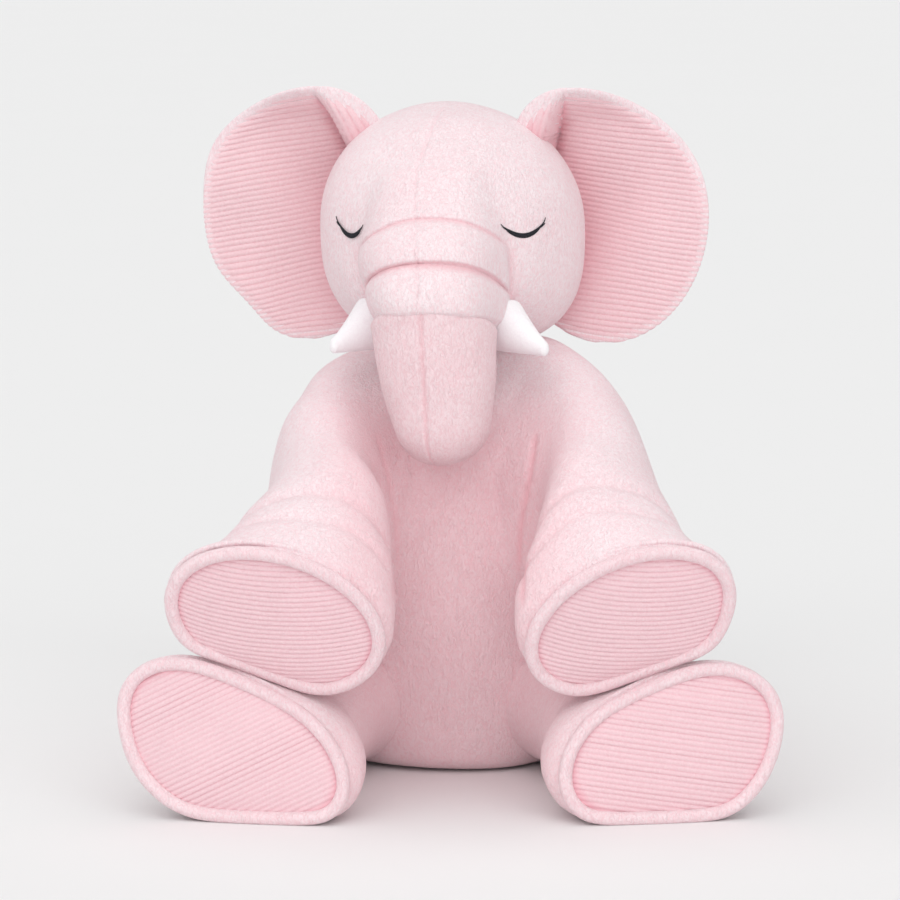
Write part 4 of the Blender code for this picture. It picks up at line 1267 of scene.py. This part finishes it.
@dataclass
class Sole:
    """Corduroy sole of a limb inside its rolled welt."""

    name: str
    centre: Array
    facing: Array
    long_way: Array
    short_way: Array
    half: tuple[float, float]
    rib_angle: float
    rib_sag: float
    presses: list[tuple[Array, float]]
    welt_radius: float = 0.0039
    dome: float = 0.0055
    sag: float = 0.0

    def path(self, inset: float, lift: float, clear: float, count: int = 150) -> Array:
        """Return the edge of the sole, inset, lifted off its plane and clear of what it rests on."""
        turns = np.linspace(0, 2 * math.pi, count + 1)[:-1]
        a, b = self.half[0] - inset, self.half[1] - inset
        across, down = sole_outline(turns, self.sag)
        points = (self.centre + self.facing * lift + np.outer(across * a, self.long_way)
                  + np.outer(down * b, self.short_way))
        for normal, distance in self.presses:
            points = pressed(points, normal, distance - clear + 0.0016, 0.003)
        return points

    def ring(self, name: str, inset: float, lift: float, clear: float) -> bpy.types.Object:
        """Make the path of a roll as a closed run of edges."""
        points = self.path(inset, lift, clear)
        count = len(points)
        return add_piece(name, points, [], [(step, (step + 1) % count) for step in range(count)])

    def chords(self, along: Array, over: Array) -> tuple[Array, Array, Array]:
        """Return rows across the pad, and where each row starts and ends.

        Args:
            along: The way the ribs run.
            over: The way across the ribs.

        Returns:
            The rows and their two ends, measured from the middle of the sole.
        """
        edge = self.path(self.welt_radius * 0.95, 0.0, self.welt_radius, 480) - self.centre
        run, row = edge @ along, edge @ over
        edge_run, edge_row = np.roll(run, -int(row.argmin())), np.roll(row, -int(row.argmin()))
        top = int(edge_row.argmax())
        rows = np.linspace(row.min(), row.max(), 190)[1:-1]
        one = np.interp(rows, np.maximum.accumulate(edge_row[:top + 1]), edge_run[:top + 1])
        other_row, other_run = np.append(edge_row[top:], edge_row[0])[::-1], np.append(edge_run[top:], edge_run[0])[::-1]
        other = np.interp(rows, np.maximum.accumulate(other_row), other_run)
        return rows, np.minimum(one, other), np.maximum(one, other)

    def pad(self, shop: Workshop) -> bpy.types.Object:
        """Make the ribbed pad."""
        wish = np.array((math.cos(self.rib_angle), 0, math.sin(self.rib_angle)))
        along = unit(wish - self.facing * (wish @ self.facing))
        over = np.cross(self.facing, along)
        rows, start, end = self.chords(along, over)
        share = -np.cos(math.pi * np.linspace(0, 1, 66))
        run = ((start + end) / 2)[:, None] + ((end - start) / 2)[:, None] * share[None, :]
        row = np.broadcast_to(rows[:, None], run.shape)
        up = (2 * rows - rows[0] - rows[-1]) / (rows[-1] - rows[0])
        rim = 1 - (1 - share**2)[None, :] * (1 - up**2)[:, None]
        lift = 0.0012 + self.dome * (1 - rim**1.6)
        lift = lift + wander(np.stack([run, row, row * 0], axis=-1), 0.04, len(self.name)) * 0.0005
        face = (self.centre + lift[..., None] * self.facing + run[..., None] * along
                + row[..., None] * over)
        behind = face - (lift[..., None] + 0.001) * self.facing
        rib = row - self.rib_sag * (run / self.half[0]) ** 2
        count = rib.size
        index = np.arange(count).reshape(rib.shape)
        quads = np.stack([index[:-1, :-1], index[:-1, 1:], index[1:, 1:], index[1:, :-1]], axis=-1)
        faces = quads.reshape(-1, 4).tolist() + (quads.reshape(-1, 4)[:, ::-1] + count).tolist()
        edge = np.concatenate([index[0, :-1], index[:-1, -1], index[-1, :0:-1], index[:0:-1, 0]])
        for first, last in zip(edge, np.roll(edge, -1)):
            faces.append((int(last), int(first), int(first) + count, int(last) + count))
        piece = add_piece(f"{self.name}_sole", np.concatenate([face.reshape(-1, 3), behind.reshape(-1, 3)]),
                          faces)
        keep_value(piece, "rib", np.concatenate([rib.ravel(), rib.ravel()]))
        keep_value(piece, "show", np.concatenate([np.ones(count), np.zeros(count)]))
        # Painted shade: deeper pink in the crease round the pad's rim, against the welt.
        keep_value(piece, "seam", np.tile(0.85 * ease(0.78, 0.92, rim).ravel(), 2))
        face_outwards(piece)
        shop.ribs.bake(piece, shop.finishes.corduroy, pitch=0.0030)
        return piece

    def dress(self, body: str, shop: Workshop) -> list[bpy.types.Object]:
        """Make the pad, the welt and the seam behind it, and set them on a body."""
        pad = self.pad(shop)
        welt = self.ring(f"{self.name}_welt_roll", self.welt_radius * 0.85, self.welt_radius * 0.65,
                         self.welt_radius + 0.0004)
        shop.welts.bake(welt, shop.finishes.welt, radius=self.welt_radius)
        seam = self.ring(f"{self.name}_welt_seam", 0.0010, -0.0052, 0.0024)
        shop.welts.bake(seam, shop.finishes.plush, radius=0.0019)
        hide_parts(f"{body}_pad")
        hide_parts(f"{body}_welt")
        for piece, slot in ((pad, "pink_corduroy"), (welt, "pink_plush"), (seam, "pink_plush")):
            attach(piece, body)
        return [pad, welt, seam]


@dataclass
class Limb:
    """Arm or leg: a stuffed sleeve from its seam on the torso to its sole."""

    name: str
    side: Side
    root: tuple[float, float, float]
    root_way: tuple[float, float]
    root_half: tuple[float, float]
    root_pull: float
    end: tuple[float, float, float]
    half: tuple[float, float]
    roll: float
    out: float
    dip: float
    rib_angle: float
    rib_sag: float
    bows: tuple[tuple[float, float, float], ...] = ()
    heel: float = 0.0
    sag: float = 0.0
    sole_pull: float = 0.6
    flare: float = 3.0
    inset: float = 0.0015
    creases: tuple[tuple[float, float, float], ...] = ((0.052, 0.0026, 0.0045), (0.031, 0.0018, 0.0036))

    def __post_init__(self) -> None:
        """Work out the directions of the sole."""
        sign = self.side.value
        out, dip, roll = (math.radians(angle) for angle in (self.out, self.dip, self.roll))
        self.start = np.array((sign * self.root[0], *self.root[1:]))
        self.start_way = np.array((sign * self.root_way[0], self.root_way[1], 0))
        self.sole_centre = np.array((sign * self.end[0], *self.end[1:]))
        self.facing = np.array((sign * math.sin(out), -math.cos(out), 0)) * math.cos(dip) - UP * math.sin(dip)
        level = unit(np.cross(self.facing, UP)) * -sign
        turn = sign * roll
        self.long_way = level * math.cos(turn) + np.cross(self.facing, level) * math.sin(turn)
        self.short_way = np.cross(self.facing, self.long_way) * -sign

    @property
    def rest_plane(self) -> tuple[Array, float]:
        """The plane on which an arm rests on the leg below it."""
        normal = unit(np.array((-self.side.value * math.tan(math.radians(20)),
                                -math.tan(math.radians(12)), 1.0)))
        return normal, float(normal @ np.array((0, -0.196, 0.0395)))

    @property
    def presses(self) -> list[tuple[Array, float]]:
        """The planes that flatten the sleeve."""
        normal, distance = self.rest_plane
        if self.name.endswith("arm"):
            return [(-normal, -distance - 0.0002)]
        return [(normal, distance - 0.0002), (-UP, 0.0)]

    def rings(self, count: int = 44, around: int = 64, bury: float = 0.018) -> Array:
        """Return the rings of the sleeve, with its start buried in the torso."""
        span = float(np.linalg.norm(self.sole_centre - self.start))
        ends = (self.start, self.start + self.start_way * span * self.root_pull,
                self.start + (self.sole_centre - self.start) * self.sole_pull, self.sole_centre)
        root_long = unit(np.cross(UP, self.start_way))
        if root_long @ self.long_way < 0:
            root_long = -root_long
        turns = np.linspace(0, 2 * math.pi, around + 1)[:-1]
        rings = []
        for share in np.linspace(0, 1, count):
            ahead = unit(self.start_way * (1 - share) + self.facing * share)
            across = root_long * (1 - share) + self.long_way * share
            across = unit(across - ahead * (ahead @ across))
            lift = np.cross(ahead, across)
            half = [a + (b - a) * share**self.flare - self.inset for a, b in zip(self.root_half, self.half)]
            bowed = sum(far * math.exp(-(((share - place) / wide) ** 2)) for far, place, wide in self.bows)
            heel = self.heel * float(ease(0.70, 0.88, share) * ease(1.01, 0.95, share))
            half[0] += heel * 0.5
            centre = bezier(ends, share) + np.array((self.side.value * (bowed - heel), 0, 0))
            wide, tall = sole_outline(turns, self.sag * share**3)
            tall = tall * (1 if lift @ self.short_way > 0 else -1)
            rings.append(centre + np.outer(wide * half[0], across) + np.outer(tall * half[1], lift))
        rings.insert(0, rings[0] - self.start_way * bury)
        rings = np.stack(rings)
        for normal, distance in self.presses:
            rings = pressed(rings, normal, distance)
        return rings

    def sole(self) -> Sole:
        """Return the sole that closes the sleeve."""
        return Sole(self.name, self.sole_centre, self.facing, self.long_way, self.short_way, self.half,
                    math.radians(self.rib_angle), self.rib_sag, self.presses, sag=self.sag)

    def held(self, points: Array) -> Array:
        """Return 1 for points that the sole's seam holds, easing to 0 along the sleeve."""
        return ease(0.010, 0.002, (self.sole_centre - points) @ self.facing)

    def crease(self, points: Array) -> Array:
        """Return how deep the soft creases behind the foot are at points of the sleeve."""
        back = (self.sole_centre - points) @ self.facing + 0.003 * wander(points, 0.07, 41)
        depth = sum(deep * np.exp(-(((back - place) / wide) ** 2)) for place, deep, wide in self.creases)
        mine = (points[:, 0] * self.side.value > 0.035) & (points[:, 1] < -0.07)
        return depth * mine * ease(0.09, 0.12, points[:, 2])

    def blend(self, piece: bpy.types.Object, seam: Array) -> None:
        """Bake a sleeve's place into its mesh.

        Args:
            piece: The sleeve.
            seam: Points of the seam on the torso; not used.
        """
        way = unit(self.sole_centre - self.start)
        high = float(((self.sole().path(0, 0, 0) - self.start) @ way).min()) - 0.008
        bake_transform(piece)


def make_arm(side: Side) -> Limb:
    """Return an arm, whose sole is a little different on each side."""
    left = side is Side.LEFT
    angle = math.radians(32)
    return Limb(f"{side.label}_arm", side, (0.05205, -0.03321, 0.190 if left else 0.186),
                (math.cos(angle), -math.sin(angle)), (0.036, 0.0675 if left else 0.0625), 0.14, (0.0980, -0.200, 0.1145),
                (0.0615, 0.0425) if left else (0.0625, 0.0450), 28 if left else 19, 8, 20,
                -6.5 if left else 0.5, 0.0090,
                ((0.010, 0.44, 0.22),) if left else ((0.005, 0.22, 0.18), (-0.011, 0.63, 0.20), (0.006, 0.46, 0.11)),
                heel=0.005, sag=0.12 if left else 0.08)


def make_leg(side: Side) -> Limb:
    """Return a leg, whose sole is a little different on each side."""
    left = side is Side.LEFT
    angle = math.radians(40)
    return Limb(f"{side.label}_leg", side, (0.062, -0.050, 0.042),
                (math.sin(angle), -math.cos(angle)), (0.048, 0.042), 0.25, (0.1215, -0.196, 0.0415 if left else 0.0435),
                (0.0665, 0.0428) if left else (0.0705, 0.0402), 23 if left else 26.6, 9, -5,
                -8.7 if left else 26, 0.0, heel=0.006, sag=0.20 if left else 0.27)


@dataclass
class BodyCover:
    """Torso and arms, stuffed as one skin and then parted at the armholes."""

    torso: Torso
    arms: list[Limb]
    voxel: float = 0.0042

    def whole(self) -> bpy.types.Object:
        """Make the stuffed skin of the torso with both arms."""
        points, faces = loft(self.torso.rings())
        for rings in self.torso.yoke() + [arm.rings() for arm in self.arms]:
            more, more_faces = loft(rings)
            faces += [tuple(index + len(points) for index in face) for face in more_faces]
            points = np.vstack([points, more])
        piece = add_piece("body_whole", points, faces)
        face_outwards(piece)
        weld(piece, self.voxel, 5)
        skin = read_points(piece.data)
        soften(piece, ease(0.13, 0.19, skin[:, 2]) * ease(-0.16, -0.12, skin[:, 1]), 26)
        skin = read_points(piece.data)
        chest = ease(0.115, 0.155, skin[:, 2]) * ease(0.108, 0.072, np.abs(skin[:, 0]))
        soften(piece, chest * ease(-0.155, -0.115, skin[:, 1]) * ease(-0.02, -0.05, skin[:, 1]), 80)
        skin = read_points(piece.data)
        held = np.maximum(ease(0.012, 0.003, skin[:, 2]), ease(0.238, 0.247, skin[:, 2]))
        for arm in self.arms:
            held = np.maximum(held, arm.held(skin) * (np.sign(skin[:, 0]) == arm.side.value))
        inflate(piece, held, 0.0045)
        refine(piece)
        skin = read_points(piece.data)
        normals = read_normals(piece.data)
        skin = skin + normals * wander(skin, 0.06, 21)[:, None] * 0.0010
        sewn = self.front_seam(skin)
        skin = skin - normals * 0.0012 * sewn[:, None]
        folds = sum(arm.crease(skin) for arm in self.arms)
        # Seam value: the front seams' own deeper pink, with painted shade in the creases behind the arms' soles and on
        # the chest between the arms.
        keep_value(piece, "seam", np.clip(0.38 * sewn + 35 * folds + 0.30 * self.hollow(skin), 0, 1))
        for arm in self.arms:
            skin = skin - normals * arm.crease(skin)[:, None]
            normal, distance = arm.presses[0]
            near = (skin[:, 0] * arm.side.value > 0.045) & (skin[:, 1] < -0.115)
            skin = np.where(near[:, None], pressed(skin, normal, distance), skin)
        write_points(piece.data, pressed(skin, -UP, 0.0))
        return piece

    @staticmethod
    def front_seam(points: Array) -> Array:
        """Return 1 on the two seams down the chest beside the arms, falling to 0 beside them."""
        levels, left, right = (0.125, 0.133, 0.150, 0.179, 0.205), (38, 38.5, 39, 44, 48), (32, 32, 32.5, 37, 44)
        x, y, z = points.T
        run = np.where(x > 0, np.interp(z, levels, left), np.interp(z, levels, right)) / 1000
        shown = ease(0.118, 0.130, z) * ease(0.208, 0.198, z) * ease(-0.05, -0.06, y)
        return np.exp(-(((np.abs(x) - run) / 0.0016) ** 2)) * shown * np.where(x > 0, 1, 0.5)

    @staticmethod
    def hollow(points: Array) -> Array:
        """Return 1 on the chest between the arms, where shade is painted deeper pink, easing to 0."""
        x, y, z = points.T
        return ease(0.085, 0.045, np.abs(x)) * ease(-0.03, -0.06, y) * ease(0.240, 0.205, z)

    def part(self, whole: bpy.types.Object) -> list[bpy.types.Object]:
        """Part the whole skin into the torso and the two sleeves.

        Args:
            whole: The stuffed skin, which is removed.

        Returns:
            The torso and then a sleeve for each arm.
        """
        mesh = whole.data
        centres = np.empty(len(mesh.polygons) * 3)
        mesh.polygons.foreach_get("center", centres)
        centres = centres.reshape(-1, 3)
        owner = np.zeros(len(centres), dtype=int)
        free = self.torso.outside(centres) > 0.009
        for number, arm in enumerate(self.arms, start=1):
            mine = free & (np.sign(centres[:, 0]) == arm.side.value)
            mine &= (centres - arm.start) @ arm.start_way > 0.0
            mine &= centres[:, 2] > 0.06
            owner[mine] = number
        normals = read_normals(mesh)
        made = []
        for number, name in enumerate(["torso_cover"] + [f"{arm.name}_cover" for arm in self.arms]):
            form = bmesh.new()
            form.from_mesh(mesh)
            form.faces.ensure_lookup_table()
            kept = form.verts.layers.int.new("whole")
            for vert in form.verts:
                vert[kept] = vert.index
            gone = [face for face in form.faces if owner[face.index] != number]
            bmesh.ops.delete(form, geom=gone, context="FACES")
            self.close(form)
            piece = add_piece(name, np.zeros((0, 3)), [])
            source = [vert[kept] for vert in form.verts]
            form.to_mesh(piece.data)
            form.free()
            piece.data.shade_smooth()
            piece.data.normals_split_custom_set_from_vertices(
                [normals[index] if index >= 0 else (0, 0, 1) for index in source])
            made.append(piece)
        bpy.data.objects.remove(whole)
        return made

    @staticmethod
    def armhole(sleeve: bpy.types.Object) -> Array:
        """Return the points of a sleeve's seam, which all join its last point."""
        ends = np.empty(len(sleeve.data.edges) * 2, dtype=np.int32)
        sleeve.data.edges.foreach_get("vertices", ends)
        ends = ends.reshape(-1, 2)
        hub = len(sleeve.data.vertices) - 1
        seam = ends[(ends == hub).any(axis=1)]
        return read_points(sleeve.data)[seam[seam != hub]]

    @staticmethod
    def close(form: bmesh.types.BMesh) -> None:
        """Close the armholes of a parted skin with a hub behind the seam."""
        kept = form.verts.layers.int["whole"]
        edges = [edge for edge in form.edges if edge.is_boundary]
        while edges:
            loop, queue = {edges[0]}, [edges[0]]
            while queue:
                for vert in queue.pop().verts:
                    for edge in vert.link_edges:
                        if edge.is_boundary and edge not in loop:
                            loop.add(edge)
                            queue.append(edge)
            verts = {vert for edge in loop for vert in edge.verts}
            hub = form.verts.new(sum((vert.co for vert in verts), Vector()) / len(verts))
            hub[kept] = -1
            for edge in loop:
                form.faces.new((*edge.verts, hub))
            edges = [edge for edge in form.edges if edge.is_boundary]
        bmesh.ops.recalc_face_normals(form, faces=form.faces)

    def dress(self, shop: Workshop) -> list[bpy.types.Object]:
        """Make the torso and the arms with their soles."""
        torso, *sleeves = self.part(self.whole())
        torso.data.materials.append(shop.finishes.plush)
        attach(torso, "torso")
        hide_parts("torso_skin", "torso_stuffing", "bead_pouch")
        made = [torso]
        for arm, sleeve in zip(self.arms, sleeves):
            sleeve.data.materials.append(shop.finishes.plush)
            arm.blend(sleeve, self.armhole(sleeve))
            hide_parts(f"{arm.name}_sleeve", f"{arm.name}_stuffing")
            made += [sleeve, *arm.sole().dress(arm.name, shop)]
        return made


@dataclass
class Leg:
    """Leg that lies along the floor with its sole to the front."""

    limb: Limb
    voxel: float = 0.0042

    def build(self) -> bpy.types.Object:
        """Make the stuffed sleeve."""
        piece = add_loft(f"{self.limb.name}_cover", self.limb.rings())
        weld(piece, self.voxel, 4)
        skin = read_points(piece.data)
        held = np.maximum(self.limb.held(skin), ease(0.006, 0.001, skin[:, 2]))
        held = np.maximum(held, ease(0.012, 0.0, (skin - self.limb.start) @ self.limb.start_way))
        inflate(piece, held, 0.004)
        refine(piece)
        skin = read_points(piece.data)
        skin = skin + read_normals(piece.data) * wander(skin, 0.05, 31)[:, None] * 0.0008
        for normal, distance in self.limb.presses:
            skin = pressed(skin, normal, distance)
        write_points(piece.data, skin)
        # Painted shade where the leg meets the chest, as on the chest.
        keep_value(piece, "seam", 0.30 * BodyCover.hollow(skin))
        return piece

    def dress(self, shop: Workshop) -> list[bpy.types.Object]:
        """Make the leg with its sole."""
        piece = self.build()
        piece.data.materials.append(shop.finishes.plush)
        self.limb.blend(piece, self.limb.start[None, :])
        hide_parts(f"{self.limb.name}_sleeve", f"{self.limb.name}_stuffing")
        return [piece, *self.limb.sole().dress(self.limb.name, shop)]


@dataclass
class Tail:
    """Short tail at the back with a tuft at its end."""

    root: tuple[float, float, float] = (0.0, 0.0948, 0.082)
    reach: tuple[float, float, float] = (0.0, 0.025, -0.044)
    radius: float = 0.0092
    tuft_length: float = 0.030
    tuft_radius: float = 0.0112

    def dress(self, shop: Workshop) -> list[bpy.types.Object]:
        """Make the tail and its tuft and set them on their body."""
        root = np.array(self.root) - np.array((0, 0.008, 0))
        end = np.array(self.root) + np.array(self.reach)
        pull = float(np.linalg.norm(self.reach)) / 3
        ends = (root, root + np.array((0, pull, 0)), end + UP * pull, end)
        turns = np.linspace(0, 2 * math.pi, 29)[:-1]
        side = np.array((1.0, 0, 0))
        rings = []
        for share in np.linspace(0, 1, 26):
            ahead = unit(bezier(ends, min(1, share + 0.01)) - bezier(ends, max(0, share - 0.01)))
            lift = np.cross(ahead, side)
            radius = self.radius * (1 - 0.3 * share)
            rings.append(bezier(ends, share) + radius * (np.outer(np.cos(turns), side)
                                                         + np.outer(np.sin(turns), lift)))
        tail = add_loft("tail_cover", np.stack(rings))
        rings = []
        for share in np.linspace(0, 1, 24):
            radius = self.tuft_radius * math.sin(math.pi * (0.16 + 0.80 * share)) * (
                1 + 0.10 * np.sin(turns * 7 + share * 3))
            rings.append(end - UP * self.tuft_length * share + np.stack(
                [radius * np.cos(turns), radius * np.sin(turns), turns * 0], axis=-1))
        tuft = add_loft("tail_tuft_strands", np.stack(rings))
        for piece, nodes in ((tail, ("tail_skin", "tail_stuffing")), (tuft, ("tail_tuft",))):
            piece.data.materials.append(shop.finishes.plush)
            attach(piece, "tail")
            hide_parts(*nodes)
        return [tail, tuft]


# ---------------------------------------------------------------- studio


@dataclass
class Studio:
    """Plain pale floor, soft light and the camera in front of the toy."""

    camera_place: tuple[float, float, float] = (-0.0014, -2.3795, 0.5333)
    camera_dip: float = math.radians(8.445)
    lens: float = 160.0
    reach: float = 60.0
    sky: float = 0.40
    suns: tuple[tuple[float, float, float, float, float], ...] = (
        (-0.12, -0.22, 1.0, 1.54, 95.0), (0.05, -1.0, 0.12, 1.52, 100.0))

    def build(self, shop: Workshop) -> None:
        """Make the floor, the lights and the camera."""
        r = self.reach
        floor = add_piece("floor", np.array(((-r, -r, 0), (r, -r, 0), (r, r, 0), (-r, r, 0))), [(0, 1, 2, 3)])
        floor.data.materials.append(shop.finishes.floor)
        scene = bpy.context.scene
        world = bpy.data.worlds.new("soft_sky")
        world.use_nodes = True
        world.node_tree.nodes["Background"].inputs["Color"].default_value = (1, 1, 1, 1)
        world.node_tree.nodes["Background"].inputs["Strength"].default_value = self.sky
        scene.world = world
        for number, (x, y, z, strength, angle) in enumerate(self.suns):
            data = bpy.data.lights.new(f"softbox_{number}", "SUN")
            data.energy, data.angle = strength, math.radians(angle)
            lamp = bpy.data.objects.new(data.name, data)
            lamp.rotation_euler = Vector((x, y, z)).to_track_quat("Z", "Y").to_euler()
            scene.collection.objects.link(lamp)
        data = bpy.data.cameras.new("front_camera")
        data.lens, data.sensor_width = self.lens, 36.0
        camera = bpy.data.objects.new("front_camera", data)
        camera.location = self.camera_place
        camera.rotation_euler = (math.pi / 2 - self.camera_dip, 0, 0)
        scene.collection.objects.link(camera)
        scene.camera = camera
        scene.view_settings.view_transform = "Standard"


def main() -> None:
    """Build every sub-assembly in order."""
    logging.basicConfig(level=logging.INFO, format="%(name)s: %(message)s")
    shop = Workshop()
    Studio().build(shop)
    head = HeadCover()
    eyes = {Side.LEFT: ((29.4, 38.2, 47.0), (0.0046, 0.0, 0.0048)),
            Side.RIGHT: ((35.2, 42.2, 49.4), (0.0031, -0.0014, 0.0041))}
    groups = [head, Trunk(head)]
    for side in Side:
        groups += [Tusk(head, side), Eye(head, side, *eyes[side]),
                   make_ear(head, side)]
    groups.append(BodyCover(Torso(), [make_arm(side) for side in Side]))
    groups += [Leg(make_leg(side)) for side in Side]
    groups.append(Tail())
    for group in groups:
        for piece in group.dress(shop):
            LOG.info("%s: %d faces", piece.name, len(piece.data.polygons))


if __name__ == "__main__":
    main()
